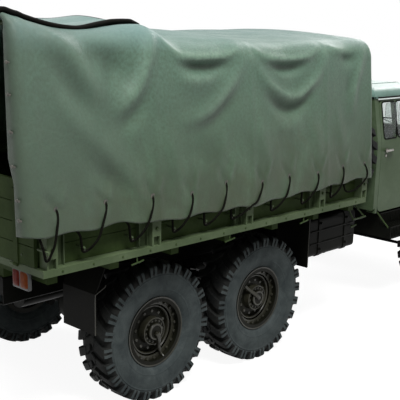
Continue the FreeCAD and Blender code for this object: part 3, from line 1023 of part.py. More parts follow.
def cargo_body(hook_centres):
    side_y = "bed_half_width - sill_width"
    node("bed_floor", block("bed_floor_planks", ("bed_rear_x + sill_width", "bed_front_x - sill_width"),
                            (minus(side_y), side_y), ("bed_top - floor_thickness", "bed_top")))
    sill = block("side_sill", ("bed_rear_x", "bed_front_x"), (minus("bed_half_width"), minus(side_y)),
                 ("bed_top - floor_thickness", "bed_top"))
    ends = [block("end_sill_" + end, span, (minus(side_y), side_y), ("bed_top - floor_thickness", "bed_top"))
            for end, span in (("rear", ("bed_rear_x", "bed_rear_x + sill_width")),
                              ("front", ("bed_front_x - sill_width", "bed_front_x")))]
    eyes = []
    for number, y in enumerate(GATE_HINGES, 1):
        start = "%s + 24 + hinge_gap" % y
        eyes.append(fuse("sill_hinge_%d" % number,
                         rod("sill_barrel_%d" % number, "y", "hinge_radius", ("gate_hinge_x", start, "gate_hinge_z"),
                             "hinge_length"),
                         block("sill_leaf_%d" % number, ("gate_hinge_x", "bed_rear_x"), (start, start + " + hinge_length"),
                               ("gate_hinge_z - hinge_radius", "gate_hinge_z"))))
    node("bed_sills", both("side_sills", sill), ends[1], fuse("rear_sill", ends[0], *eyes))
    bearers = []
    low = "bed_top - floor_thickness - bearer_height"
    for number, x in enumerate(BEARERS, 1):
        bearers.append(block("cross_bearer_%d" % number, ("%s - bearer_length / 2" % x, "%s + bearer_length / 2" % x),
                             ("-bed_half_width + 90", "bed_half_width - 90"), (low, "bed_top - floor_thickness")))
    long_bearer = block("long_bearer", ("frame_rear_x + 10", "bed_front_x - 62"), (minus("frame_half_width"), minus("frame_half_width - frame_flange")),
                        ("frame_top", low))
    node("bed_bearers", both("long_bearers", long_bearer), *bearers)
    board_low = "bed_rear_x + board_wall + tailgate_gap"
    right = grooved_board("side_board", (minus(side_y + " - board_wall"), minus(side_y)), "front", board_low,
                          "bed_front_x - board_wall - 1", "-1")
    front_board = grooved_board("front_board", ("bed_front_x - board_wall", "bed_front_x"), "side",
                                minus(side_y), side_y, "1")
    node("bed_boards", both("side_boards", right), front_board)
    posts = []
    for name, x in POSTS:
        plan = [("%s - post_width / 2" % x, minus("bed_half_width")), ("%s + post_width / 2" % x, minus("bed_half_width")),
                ("%s + post_width / 2" % x, minus(side_y)), ("%s - post_width / 2" % x, minus(side_y))]
        post = slab("post_" + name, "plan", plan, "bed_top", "board_top")
        notch = slab("post_notch_" + name, "front", [
            (minus("bed_half_width + 5"), "bed_top - 1"), (minus("bed_half_width - post_notch_depth"), "bed_top - 1"),
            (minus("bed_half_width - post_notch_depth"), "bed_top + post_notch_height"),
            (minus("bed_half_width + 5"), "bed_top + post_notch_height")],
            "%s - post_notch_width / 2" % x, "%s + post_notch_width / 2" % x)
        way = 1 if name == "a" else -1
        start = "%s + %d * (post_width / 2 + 1)" % (x, way)
        far = "%s + %d * (post_width / 2 + 1 + cleat_width)" % (x, way)
        step_in = "%d * cleat_wall" % way
        cleat = slab("cleat_" + name, "plan", [
            (start, minus(side_y)), (start, minus(side_y + " + cleat_depth")),
            (start + " + " + step_in, minus(side_y + " + cleat_depth")), (start + " + " + step_in, minus(side_y + " + cleat_wall")),
            (far + " - " + step_in, minus(side_y + " + cleat_wall")), (far + " - " + step_in, minus(side_y + " + cleat_depth")),
            (far, minus(side_y + " + cleat_depth")), (far, minus(side_y))], "bed_top", "board_top")
        if name == POSTS[-1][0]:
            posts.append(cut("post_made_" + name, post, notch))
        else:
            posts += [cut("post_made_" + name, post, notch), cleat]
    for number in range(1, len(LASHING) + 1):
        centre = hook_centres[number - 1]
        posts.append(rod("rope_hook_%d" % number, "y", "hook_pin_radius",
                         (str(round(centre.x, 3)), "%s - hook_past_rope" % round(centre.y, 3), str(round(centre.z, 3))),
                         "%s + hook_past_rope - (%s)" % (round(-centre.y, 3), side_y)))
    # the rearmost hook stands on the back of the corner post
    first = hook_centres[0]
    posts[-len(LASHING)] = fuse("rope_hook_rear", posts[-len(LASHING)], block(
        "rope_hook_ear", (str(round(first.x, 3)), "%s - post_width / 2" % POSTS[0][1]), ("-bed_half_width + hook_ear_y", minus(side_y)),
        ("%s - 6" % round(first.z, 3), "%s + 6" % round(first.z, 3))))
    node("bed_posts", both("posts_and_hooks", group("posts_right", *posts)))
    bench = block("bench_plank", ("bed_rear_x + 260", "bed_front_x - 220"),
                  (minus(side_y + " - board_wall"), minus(side_y + " - board_wall - bench_width")),
                  ("bench_z", "bench_z + bench_thickness"))
    node("benches", bench, mirrored("bench_left", bench))
    # tailgate with its hinge straps
    gate_half = "bed_half_width - sill_width - tailgate_gap - 12"
    gate = grooved_board("tailgate_board", ("bed_rear_x + board_wall", "bed_rear_x"), "side", minus(gate_half),
                         gate_half, "-1")
    straps = []
    for number, y in enumerate(GATE_HINGES, 1):
        straps.append(slab("tailgate_strap_%d" % number, "side", [
            ("bed_rear_x - 9", "gate_hinge_z"), ("bed_rear_x - 0.1", "gate_hinge_z"),
            ("bed_rear_x", "board_top - 60"), ("bed_rear_x - 9", "board_top - 60", "5")],
            "%s - 24" % y, "%s + 24" % y))
        straps.append(rod("tailgate_barrel_%d" % number, "y", "hinge_radius",
                          ("gate_hinge_x", "%s - 24" % y, "gate_hinge_z"), "48"))
    node("tailgate", fuse("tailgate_made", gate, *straps))


def cover():
    """Tube bows, the canvas over them, and the rear curtain thrown up on the roof."""
    bows = []
    outer = hoop("0", "bow_leg_y", "board_top")
    inner = hoop("-bow_tube", "bow_leg_y - bow_tube", "board_top - 5")
    for number, x in enumerate(BOWS, 1):
        bows.append(cut("bow_%d" % number,
                        slab("bow_outer_%d" % number, "front", outer, x + " - bow_tube / 2", x + " + bow_tube / 2"),
                        slab("bow_inner_%d" % number, "front", inner, x + " - bow_tube", x + " + bow_tube")))
    node("canopy_bows", *bows)
    outside = "canvas_gap + canvas_thickness"
    shell = cut("canvas_shell",
                slab("canvas_outer", "front", hoop(outside, "canvas_hem_y", "canvas_hem_z"),
                     "canvas_rear_x", "canvas_front_x"),
                slab("canvas_inner", "front", hoop("canvas_gap", "canvas_hem_y - canvas_thickness",
                                                   "canvas_hem_z - 5"),
                     "canvas_rear_x + canvas_thickness", "canvas_front_x - canvas_thickness"),
                slab("canvas_mouth", "front", hoop(outside + " - canvas_lip", "canvas_hem_y - canvas_lip",
                                                   "canvas_hem_z - 5"),
                     "canvas_rear_x - 5", "canvas_rear_x + canvas_thickness + 5"))
    node("canvas_cover", shell)
    under = outside + " + canvas_gap"
    band = cut("curtain_band",
               slab("curtain_above", "front", hoop(under + " + curtain_thickness",
                                                    "canvas_hem_y + canvas_gap + curtain_thickness", "canvas_hem_z"),
                    "canvas_rear_x", "curtain_front_x"),
               slab("curtain_under", "front", hoop(under, "canvas_hem_y + canvas_gap", "canvas_hem_z - 5"),
                    "canvas_rear_x - 5", "curtain_front_x + 5"))
    width = block("curtain_width", ("canvas_rear_x - 10", "curtain_front_x + 10"),
                  ("-curtain_half_width", "curtain_half_width"), ("bow_shoulder", "bow_crown + 200"))
    node("rear_curtain", shared("curtain_made", band, width))


ROOF_SLOPE = "((bow_crown - bow_shoulder) / bow_leg_y)"
ROOF_STRETCH = "sqrt(1 + ((bow_crown - bow_shoulder) / bow_leg_y) ^ 2)"


def hoop(out, foot_y, foot_z):
    """Section of the cover at a distance outside the bows: foot, shoulder, crown, shoulder, foot."""
    shoulder_y = "(bow_leg_y + %s)" % out
    shoulder_z = "(bow_shoulder + (%s) * (%s - %s))" % (out, ROOF_STRETCH, ROOF_SLOPE)
    crown_z = "(bow_crown + (%s) * %s)" % (out, ROOF_STRETCH)
    round_shoulder = "bow_shoulder_radius + (%s)" % out
    return [(minus(foot_y), foot_z), (minus(shoulder_y), shoulder_z, round_shoulder),
            ("0", crown_z, "bow_crown_radius + (%s)" % out), (shoulder_y, shoulder_z, round_shoulder),
            (foot_y, foot_z)]


def tube(name, points, radius, bend):
    """A round cord along straight runs joined by tangent arcs."""
    edges = []
    last = points[0]
    for before, corner, after in zip(points, points[1:], points[2:]):
        first, middle, final, centre = corner_arc(before, corner, after, bend)
        edges.append(Part.LineSegment(last, first).toShape())
        edges.append(Part.Arc(first, middle, final).toShape())
        last = final
    edges.append(Part.LineSegment(last, points[-1]).toShape())
    disc = Part.Wire(Part.makeCircle(radius, points[0], (points[1] - points[0]).normalize()))
    thing = doc.addObject("Part::Feature", name)
    thing.Shape = Part.Wire(edges).makePipeShell([disc], True, False)
    return thing


def corner_arc(before, corner, after, bend):
    """Where an arc of radius bend leaves and joins the two runs at a corner, its middle and centre."""
    back = (before - corner).normalize()
    ahead = (after - corner).normalize()
    half_turn = (math.pi - back.getAngle(ahead)) / 2
    reach = bend * math.tan(half_turn)
    bisector = (back + ahead).normalize()
    centre = corner + bisector * (bend / math.cos(half_turn))
    return corner + back * reach, centre - bisector * bend, corner + ahead * reach, centre


def rope_routes():
    """Points of each loop of the right-hand lashing: out of a grommet, down the canvas, under the hem
    to a hook on the side board, and up behind the canvas to the grommet behind."""
    radius = value("rope_radius")
    thick = value("canvas_thickness")
    hem_y, hem_z = value("canvas_hem_y"), value("canvas_hem_z")
    out = value("canvas_gap + canvas_thickness")
    shoulder_y = value("bow_leg_y") + out
    shoulder_z = value("bow_shoulder + (canvas_gap + canvas_thickness) * (%s - %s)" % (ROOF_STRETCH, ROOF_SLOPE))
    top = value("grommet_z")
    canvas_y = hem_y - (top - hem_z) * (hem_y - shoulder_y) / (shoulder_z - hem_z)
    rear = value("bed_rear_x")
    behind = rear + FIRST_GROMMET
    hook_y = value("rear_hook_y")
    routes = []
    for grommet_ahead, hook_ahead in LASHING:
        grommet = rear + grommet_ahead
        hook_x = rear + hook_ahead
        routes.append([
            Vector(grommet, -(canvas_y + radius + 0.6), top),
            Vector(grommet + (hook_x - grommet) * 0.6, -(hem_y + radius + 1.5), hem_z - 6),
            Vector(hook_x, -hook_y, value("hook_z") - 10),
            Vector(hook_x + (behind - hook_x) * 0.45, -(hem_y - thick - radius - 2), hem_z + 20),
            Vector(behind, -(canvas_y - thick - radius - 0.6), top - 30)])
        behind = grommet
        hook_y = value("hook_y")
    return routes


def lashing(routes):
    """The rope that ties the hem down, one solid for each loop between two grommets."""
    loops = [tube("rope_loop_%d" % number, points, value("rope_radius"), value("rope_bend_radius"))
             for number, points in enumerate(routes, 1)]
    node("lashing_ropes", both("ropes", group("rope_right", *loops)))


# ---------------------------------------------------------------- equipment

def equipment():
    """Fuel tanks, exhaust, air tanks, mudflaps, lamps and the tow hook."""
    tank = slab("tank_body", "front", [
        (minus("tank_outer_y"), "tank_bottom", "tank_corner"), (minus("tank_inner_y"), "tank_bottom", "tank_corner"),
        (minus("tank_inner_y"), "tank_top", "tank_corner"), (minus("tank_outer_y"), "tank_top", "tank_corner")],
        "tank_rear_x", "tank_front_x")
    ribs = [slab("tank_rib_%d" % number, "front", [
        (minus("tank_outer_y + 8"), "tank_bottom - 8", "tank_corner + 8"),
        (minus("tank_inner_y - 8"), "tank_bottom - 8", "tank_corner + 8"),
        (minus("tank_inner_y - 8"), "tank_top + 8", "tank_corner + 8"),
        (minus("tank_outer_y + 8"), "tank_top + 8", "tank_corner + 8")],
        "tank_rear_x + %s" % start, "tank_rear_x + %s + strap_width" % start)
        for number, start in ((1, "130"), (2, "tank_front_x - tank_rear_x - 130 - strap_width"))]
    tank_made = fuse("tank_made", tank, *ribs)
    carriers = [block("tank_carrier_%d" % number, ("tank_rear_x + %s" % start, "tank_rear_x + %s + strap_width" % start),
                      (minus("tank_inner_y - 8"), minus("frame_half_width")), ("frame_top - 190", "frame_top - 20"))
                for number, start in ((1, "130"), (2, "tank_front_x - tank_rear_x - 130 - strap_width"))]
    air = [rod("air_tank_" + side, "x", "air_tank_radius",
               (TRUNNION + " - hanger_behind - 260", y, CROSSMEMBER_LOW + " - air_tank_radius - seat_gap"),
               "air_tank_length") for side, y in (("left", "air_tank_y"), ("right", "-air_tank_y"))]
    node("tanks", both("fuel_tanks", tank_made), *air)
    flaps = []
    for name, corners in (
            ("front", [(FLAP_FRONT_X, "flap_front_bottom"), (FLAP_FRONT_X, "bed_top - floor_thickness - seat_gap"),
                       (FLAP_FRONT_X + " + flap_thickness", "bed_top - floor_thickness - seat_gap"),
                       (FLAP_FRONT_X + " + flap_thickness", "flap_front_bottom")]),
            ("rear", [(FLAP_TOP_X + " - flap_swing", "flap_rear_bottom"), (FLAP_TOP_X + " - flap_swing", "flap_rear_bend"),
                      (FLAP_TOP_X, "bed_top - floor_thickness - bearer_height - seat_gap"),
                      (FLAP_TOP_X + " + flap_thickness", "bed_top - floor_thickness - bearer_height - seat_gap"),
                      (FLAP_TOP_X + " - flap_swing + flap_thickness", "flap_rear_bend - 4"),
                      (FLAP_TOP_X + " - flap_swing + flap_thickness", "flap_rear_bottom")])):
        flaps.append(slab("mudflap_" + name, "side", corners, minus("flap_outer_y"), minus("flap_outer_y - flap_width")))
    flap_set = group("mudflaps_right", *flaps)
    node("mudflaps", flap_set, mirrored("mudflaps_left", flap_set))
    low = "bed_top - floor_thickness - lamp_height - seat_gap"
    lamp = block("tail_lamp", ("bed_rear_x + 4", "bed_rear_x + 4 + lamp_depth"),
                 ("-bed_half_width + lamp_inset", "-bed_half_width + lamp_inset + lamp_width"),
                 (low, low + " + lamp_height"))
    node("tail_lamps", lamp, mirrored("tail_lamp_left", lamp))
    hook = fuse("tow_hook_body",
                rod("tow_hook_stem", "x", "28", ("frame_rear_x - 60", "0", "tow_hook_z"), "crossmember_length / 2 + 59.9"),
                block("tow_hook_plate", ("frame_rear_x + crossmember_length / 2 - 14", "frame_rear_x + crossmember_length / 2 - 0.1"),
                      ("-110", "110"), ("tow_hook_z - 65", "tow_hook_z + 65")),
                slab("tow_hook_jaw", "side", [
                    ("frame_rear_x - 50", "tow_hook_z + 40"), ("frame_rear_x - 150", "tow_hook_z + 40"), ("frame_rear_x - 150", "tow_hook_z + 5"),
                    ("frame_rear_x - 118", "tow_hook_z + 5"), ("frame_rear_x - 118", "tow_hook_z + 12"), ("frame_rear_x - 82", "tow_hook_z + 12"),
                    ("frame_rear_x - 82", "tow_hook_z - 25"), ("frame_rear_x - 165", "tow_hook_z - 25"), ("frame_rear_x - 165", "tow_hook_z - 60", "25"),
                    ("frame_rear_x - 50", "tow_hook_z - 60")], "-26", "26"))
    node("tow_hook", hook)
    silencer = rod("silencer", "x", "silencer_radius", ("silencer_x", "-silencer_y", "silencer_z"), "silencer_length")
    pipe = rod("exhaust_pipe", "x", "pipe_radius", ("silencer_x + silencer_length", "-silencer_y", "silencer_z"),
               "engine_rear_x - silencer_x - silencer_length - seat_gap")
    node("exhaust", silencer, pipe)
    return [both("tank_carriers", group("tank_carriers_right", *carriers))]


brackets = frame()
bumper()
power()
front_axle()
for knuckle_side, knuckle_sign in (("left", 1), ("right", -1)):
    knuckle(knuckle_side, knuckle_sign)
tie_rod()
rear_axles()
springs()
bogie()
brackets += wheels()
cab()
doors()
interior()
front_end()
brackets += steps()
routes = rope_routes()
bend = value("rope_bend_radius")
cargo_body([corner_arc(route[1], route[2], route[3], bend)[3] for route in routes])
cover()
lashing(routes)
brackets += equipment()
node("frame_crossmembers", *brackets)

doc.recompute()
problems = []
for thing in doc.Objects:
    if "Invalid" in thing.State or "Error" in thing.State:
        problems.append("%s: %s" % (thing.Name, thing.State))
for label, thing in NODES.items():
    if thing.Shape.isNull() or not thing.Shape.isValid() or not thing.Shape.Solids:
        problems.append(label + " has no valid solid")
if problems:
    raise SystemExit("\n".join(problems))
os.makedirs("parts", exist_ok=True)
for label, thing in NODES.items():
    thing.Shape.exportStep("parts/%s.step" % label)
print(len(NODES), "nodes written")
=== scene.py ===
# %% [markdown]
# # A three-axle cargo truck, finished in Blender
#
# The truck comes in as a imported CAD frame: every rail, wheel and panel has its true place and size.
# This lesson gives it what CAD leaves out: weathered paint, treaded tyres, a canvas that sags over
# its hoops, rope, bolts and lamps. Each piece is a surface worked out with numpy.

# %% Load the frame
import json
import math
import bmesh
import bpy
import numpy as np
from mathutils import Matrix, Vector
from mathutils.bvhtree import BVHTree

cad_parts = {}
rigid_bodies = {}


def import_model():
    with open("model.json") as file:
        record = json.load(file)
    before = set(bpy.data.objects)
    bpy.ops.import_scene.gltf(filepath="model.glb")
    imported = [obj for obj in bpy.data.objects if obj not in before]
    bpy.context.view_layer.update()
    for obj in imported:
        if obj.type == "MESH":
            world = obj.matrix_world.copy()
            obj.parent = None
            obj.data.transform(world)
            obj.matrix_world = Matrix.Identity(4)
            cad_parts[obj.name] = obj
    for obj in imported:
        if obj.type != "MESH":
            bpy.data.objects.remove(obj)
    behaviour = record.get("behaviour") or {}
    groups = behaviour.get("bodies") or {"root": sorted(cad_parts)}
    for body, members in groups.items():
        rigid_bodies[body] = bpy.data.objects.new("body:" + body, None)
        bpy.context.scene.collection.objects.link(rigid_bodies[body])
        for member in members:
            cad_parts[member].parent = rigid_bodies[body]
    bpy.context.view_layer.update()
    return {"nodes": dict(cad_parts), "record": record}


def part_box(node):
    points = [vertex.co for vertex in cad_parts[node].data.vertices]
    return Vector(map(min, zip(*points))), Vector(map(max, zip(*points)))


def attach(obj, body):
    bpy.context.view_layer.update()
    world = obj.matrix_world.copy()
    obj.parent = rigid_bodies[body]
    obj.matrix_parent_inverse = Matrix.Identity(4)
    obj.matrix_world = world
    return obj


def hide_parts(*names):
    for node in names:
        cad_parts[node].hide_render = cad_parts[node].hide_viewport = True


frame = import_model()

# %% [markdown]
# ## The camera
# A camera is a place, a direction and a lens. The lens is given by how many picture widths away the
# picture plane would be. The roll is small, and the frame is shifted a little, as in a cropped print.

# %% Camera
CAMERA_AT = np.array([-6.471, -5.628, 2.975])
YAW, PITCH, ROLL = math.radians(43.87), math.radians(14.89), math.radians(1.28)
LENS_IN_WIDTHS = 2.1225
SENSOR_MM = 36
FRAME_SHIFT = 0.1125


def camera_turn(yaw, pitch, roll):
    """Columns of the turn are the camera's right, up and back: the view direction is
    (cos pitch cos yaw, cos pitch sin yaw, -sin pitch), then right and up turn by the roll."""
    ahead = np.array([math.cos(pitch) * math.cos(yaw), math.cos(pitch) * math.sin(yaw), -math.sin(pitch)])
    right = np.cross(ahead, [0, 0, 1])
    right /= np.linalg.norm(right)
    up = np.cross(right, ahead)
    rolled_right = math.cos(roll) * right + math.sin(roll) * up
    rolled_up = math.cos(roll) * up - math.sin(roll) * right
    return np.stack([rolled_right, rolled_up, -ahead], axis=1)


def placed(name, data):
    """An object of the data, linked into the scene."""
    made = bpy.data.objects.new(name, data)
    bpy.context.scene.collection.objects.link(made)
    return made


lens = bpy.data.cameras.new("camera")
camera = placed("camera", lens)
turn = Matrix(camera_turn(YAW, PITCH, ROLL)).to_4x4()
camera.matrix_world = Matrix.Translation(Vector(CAMERA_AT)) @ turn
lens.sensor_width = SENSOR_MM
lens.lens = SENSOR_MM * LENS_IN_WIDTHS
lens.shift_y = FRAME_SHIFT
lens.clip_end = 200
bpy.context.scene.camera = camera
print("camera lens: %.1f mm" % lens.lens)

# %% [markdown]
# ## Floor and light
# A pale floor and a plain pale surround keep attention on the truck. The camera, mirrors and glass see
# them nearly white; all other light that they give is dim, so that wide lamps shape the forms and leave
# soft shadow under the chassis.

# %% Floor, surround and lamps
FLOOR_HALF, FLOOR_GREY, FLOOR_GLOW = 60, (0.30, 0.30, 0.30), 0.92
SURROUND_LIGHT = 0.29
WHITE = (1, 1, 1)


def node_material(name):
    """A new material with nodes, and its node tree and shader."""
    made = bpy.data.materials.new(name)
    made.use_nodes = True
    return made, made.node_tree, made.node_tree.nodes["Principled BSDF"]


def fill(tree, node, inputs):
    """Links or sets a node's inputs by name or number. A colour gets an alpha of 1."""
    for key, value in inputs.items():
        socket = node.inputs[key]
        if isinstance(value, bpy.types.NodeSocket):
            tree.links.new(value, socket)
        else:
            socket.default_value = (*value, 1) if socket.type == "RGBA" else value


def add(tree, kind, inputs=None, **settings):
    """Adds a node, sets its plain settings, and fills its inputs."""
    made = tree.nodes.new(kind)
    for key, value in settings.items():
        setattr(made, key, value)
    fill(tree, made, inputs or {})
    return made


def maths(tree, kind, first, second):
    """Two values taken through a maths node."""
    return add(tree, "ShaderNodeMath", {0: first, 1: second}, operation=kind).outputs[0]


def seen_or_mirrored(tree):
    """1 for a ray from the camera, from a mirror-like surface or through glass, else 0: the largest
    of the three."""
    ray = add(tree, "ShaderNodeLightPath").outputs
    first = maths(tree, "MAXIMUM", ray["Is Camera Ray"], ray["Is Glossy Ray"])
    return maths(tree, "MAXIMUM", first, ray["Is Transmission Ray"])


floor_paint, tree, shader = node_material("pale floor")
fill(tree, shader, {"Base Color": FLOOR_GREY, "Roughness": 0.9})
glow = add(tree, "ShaderNodeEmission", {"Color": WHITE, "Strength": FLOOR_GLOW})
pale = add(tree, "ShaderNodeBsdfDiffuse", {"Color": FLOOR_GREY})
white = add(tree, "ShaderNodeAddShader", {0: glow.outputs[0], 1: pale.outputs[0]})
shown = add(tree, "ShaderNodeMixShader", {0: seen_or_mirrored(tree), 1: shader.outputs[0],
                                          2: white.outputs[0]})
tree.links.new(shown.outputs[0], tree.nodes["Material Output"].inputs["Surface"])
floor_mesh = bpy.data.meshes.new("floor")
floor_corners = [(-FLOOR_HALF, -FLOOR_HALF, 0), (FLOOR_HALF, -FLOOR_HALF, 0),
                 (FLOOR_HALF, FLOOR_HALF, 0), (-FLOOR_HALF, FLOOR_HALF, 0)]
floor_mesh.from_pydata(floor_corners, [], [(0, 1, 2, 3)])
floor_mesh.materials.append(floor_paint)
placed("floor", floor_mesh)

world = bpy.data.worlds.new("surround")
bpy.context.scene.world = world
world.use_nodes = True
tree = world.node_tree
backdrop = tree.nodes["Background"]
fill(tree, backdrop, {"Color": WHITE, "Strength": SURROUND_LIGHT})
seen = add(tree, "ShaderNodeBackground", {"Color": WHITE, "Strength": 1.0})
mixed = add(tree, "ShaderNodeMixShader", {0: seen_or_mirrored(tree), 1: backdrop.outputs[0],
                                          2: seen.outputs[0]})
tree.links.new(mixed.outputs[0], tree.nodes["World Output"].inputs["Surface"])


def soft_lamp(name, place, aim, size, power):
    """A square area lamp at place, turned to face aim, which is not seen through glass."""
    light = bpy.data.lights.new(name, "AREA")
    light.size, light.energy = size, power
    made = placed(name, light)
    made.location = place
    made.visible_transmission = False
    made.rotation_euler = (Vector(aim) - Vector(place)).to_track_quat("-Z", "Y").to_euler()


soft_lamp("lamp over the right side", (-4.5, -5.5, 10), (-1.5, -0.5, 1.8), 3.5, 1400)
soft_lamp("lamp ahead", (9, 2, 7), (0, 0, 1.5), 5, 420)
soft_lamp("lamp over the left side", (-2, 9, 8), (-1, 1, 1.5), 6, 420)
bpy.context.scene.view_settings.view_transform = "Standard"
print("lamps and floor are set")

# %% [markdown]
# ## Effects that several finishes share
# Weather is the same on every painted part: the paint fades in patches, dust gathers low down and on
# top faces, and small chips show the primer. A node group holds it once, with its own sockets, and
# each finish places it with its own colours.

# %% Node group: weather
def new_group(name, inputs, outputs):
    """A shader node group with named sockets, inputs as (name, kind, value) and outputs as (name, kind)."""
    group = bpy.data.node_groups.new(name, "ShaderNodeTree")
    for socket_name, kind, value in inputs:
        socket = group.interface.new_socket(name=socket_name, in_out="INPUT", socket_type="NodeSocket" + kind)
        if value is not None:
            socket.default_value = value
    for socket_name, kind in outputs:
        group.interface.new_socket(name=socket_name, in_out="OUTPUT", socket_type="NodeSocket" + kind)
    return group, group.nodes.new("NodeGroupInput").outputs, group.nodes.new("NodeGroupOutput")


def noise(tree, place, scale, detail=4, rough=0.55, warp=0.0):
    """Noise from 0 to 1 at a place."""
    return add(tree, "ShaderNodeTexNoise", {"Vector": place, "Scale": scale, "Detail": detail,
                                            "Roughness": rough, "Distortion": warp}).outputs["Fac"]


def ramp(tree, value, low, high, to_low=0.0, to_high=1.0):
    """Value mapped from low..high to to_low..to_high, and clamped there."""
    return add(tree, "ShaderNodeMapRange", {"Value": value, "From Min": low, "From Max": high,
                                            "To Min": to_low, "To Max": to_high}).outputs["Result"]


def times(tree, *values):
    """The product of two or more values."""
    made = values[0]
    for value in values[1:]:
        made = maths(tree, "MULTIPLY", made, value)
    return made


def blend(tree, share, first, second):
    """A colour that goes from first to second as the share goes from 0 to 1."""
    return add(tree, "ShaderNodeMix", {0: share, 6: first, 7: second}, data_type="RGBA").outputs[2]


def split(tree, vector, number):
    """One coordinate of a vector."""
    return add(tree, "ShaderNodeSeparateXYZ", {0: vector}).outputs[number]


weather, given, result = new_group(
    "weather", [("Place", "Vector", None), ("Paint", "Color", None), ("Faded", "Color", None),
                ("Dust", "Color", None), ("Chips", "Color", None), ("Dust amount", "Float", 0.5),
                ("Chip amount", "Float", 0.3)],
    [("Colour", "Color"), ("Roughness", "Float"), ("Height", "Float")])
place = given["Place"]
fade = ramp(weather, noise(weather, place, 2.3, 6, 0.6, 0.4), 0.36, 0.66)
fine = noise(weather, place, 31, 5, 0.65)
faded = blend(weather, times(weather, fade, ramp(weather, fine, 0.3, 0.6, 0.5, 1.0)),
              given["Paint"], given["Faded"])
facing_up = split(weather, add(weather, "ShaderNodeNewGeometry").outputs["Normal"], 2)
low_dust = ramp(weather, split(weather, place, 2), 1.25, 0.1, 0.12, 0.8)
top_dust = ramp(weather, facing_up, 0.4, 1.0, 0.0, 0.45)
patch = ramp(weather, noise(weather, place, 6.5, 7, 0.68, 0.6), 0.33, 0.68)
dusty = times(weather, maths(weather, "MAXIMUM", low_dust, top_dust), patch, given["Dust amount"])
chipped = ramp(weather, noise(weather, place, 44, 8, 0.72), 0.665, 0.69)
chip_place = ramp(weather, noise(weather, place, 5.1, 3), 0.5, 0.62)
chips = times(weather, chipped, chip_place, given["Chip amount"])
dull = maths(weather, "ADD", ramp(weather, dusty, 0, 0.7, 0.0, 0.35), ramp(weather, fine, 0.3, 0.7, 0.28, 0.46))
fill(weather, result, {"Colour": blend(weather, chips, blend(weather, dusty, faded, given["Dust"]),
                                       given["Chips"]),
                       "Roughness": dull,
                       "Height": maths(weather, "SUBTRACT", times(weather, fine, 0.25), chips)})
print("group:", weather.name)

# %% [markdown]
# ## Painted finishes
# Greens for the cab, its roof, the body's frame, its posts and its boards, near black for the chassis
# and dark olive for the wheels all use the weather group. The roof's green is the cab's green made paler
# and bluer, as a painted sky reflection. Sheet steel takes a thin coat, so that flat panels shine a little;
# boards and frames stay dull.

# %% Painted finishes
DUST = (0.11, 0.105, 0.08)
PRIMER = (0.055, 0.032, 0.02)
PLANK_LINES = (0.050, 0.056, 0.030)


def object_place(tree):
    """The place on the object, in metres."""
    return add(tree, "ShaderNodeTexCoord").outputs["Object"]


def bumped(tree, high, strength, distance):
    """The normal of a surface whose height is given."""
    return add(tree, "ShaderNodeBump", {"Height": high, "Strength": strength, "Distance": distance}).outputs[0]


def painted(name, paint, faded, dust=0.5, chips=0.3, coat=0.0, grain=0.0, bump=0.35, shine=0.25, metal=0.0):
    """Weathered paint. Grain adds the lines of planks that run along X, from noise stretched along X."""
    made, tree, shader = node_material(name)
    place = object_place(tree)
    group = add(tree, "ShaderNodeGroup", {"Place": place, "Paint": paint, "Faded": faded, "Dust": DUST,
                                          "Chips": PRIMER, "Dust amount": dust, "Chip amount": chips},
                node_tree=weather)
    base, high = group.outputs["Colour"], group.outputs["Height"]
    if grain:
        stretched = add(tree, "ShaderNodeMapping", {"Vector": place, "Scale": (1.2, 14, 26)}).outputs[0]
        lines = noise(tree, stretched, 5, 6, 0.62, 0.3)
        base = blend(tree, ramp(tree, lines, 0.35, 0.7, 0.0, grain), base, PLANK_LINES)
        high = maths(tree, "ADD", high, times(tree, lines, 1.2 * grain))
    fill(tree, shader, {"Base Color": base, "Roughness": group.outputs["Roughness"], "Metallic": metal,
                        "Normal": bumped(tree, high, bump, 0.004), "Coat Weight": coat,
                        "Coat Roughness": 0.18, "Specular IOR Level": shine})
    return made


cab_paint = painted("cab paint", (0.045, 0.072, 0.034), (0.080, 0.115, 0.066), 0.35, 0.5, 0.03, shine=0.12)
# the roof is the cab's green made paler and bluer: a painted sky reflection
roof_paint_with_sky_reflection = painted("cab roof paint with painted sky reflection", (0.085, 0.155, 0.125), (0.15, 0.25, 0.215), 0.10, 0.3, 0.06)
bed_paint = painted("bed frame paint", (0.020, 0.036, 0.010), (0.043, 0.066, 0.024), 0.16, 0.6, shine=0.08)
post_paint = painted("post paint", (0.050, 0.074, 0.034), (0.092, 0.124, 0.066), 0.20, 0.9, shine=0.08)
board_paint = painted("board paint", (0.026, 0.046, 0.013), (0.052, 0.080, 0.028), 0.10, 0.5, grain=0.25,
                      shine=0.02)
chassis_paint = painted("chassis paint", (0.003, 0.0032, 0.0026), (0.006, 0.0065, 0.005), 0.05, shine=0.03)
rim_paint = painted("wheel paint", (0.0032, 0.0032, 0.0019), (0.0075, 0.0080, 0.0045), 0.05, 0.5, shine=0.06)
# wheel fittings and stays: lighter than the wheel dish, a painted highlight on bolts and rings
bolt_paint_with_highlight = painted("wheel bolt paint with painted highlight", (0.010, 0.010, 0.006), (0.028, 0.027, 0.017), 0.12, 0.6,
                           shine=0.35)
engine_paint = painted("engine casting", (0.06, 0.06, 0.055), (0.1, 0.095, 0.085), chips=0.4, bump=0.8)
exhaust_steel = painted("heat browned steel", (0.085, 0.06, 0.045), (0.16, 0.11, 0.08), 0.4, 0.6, bump=0.6,
                        metal=0.6)
print("painted finishes ready")
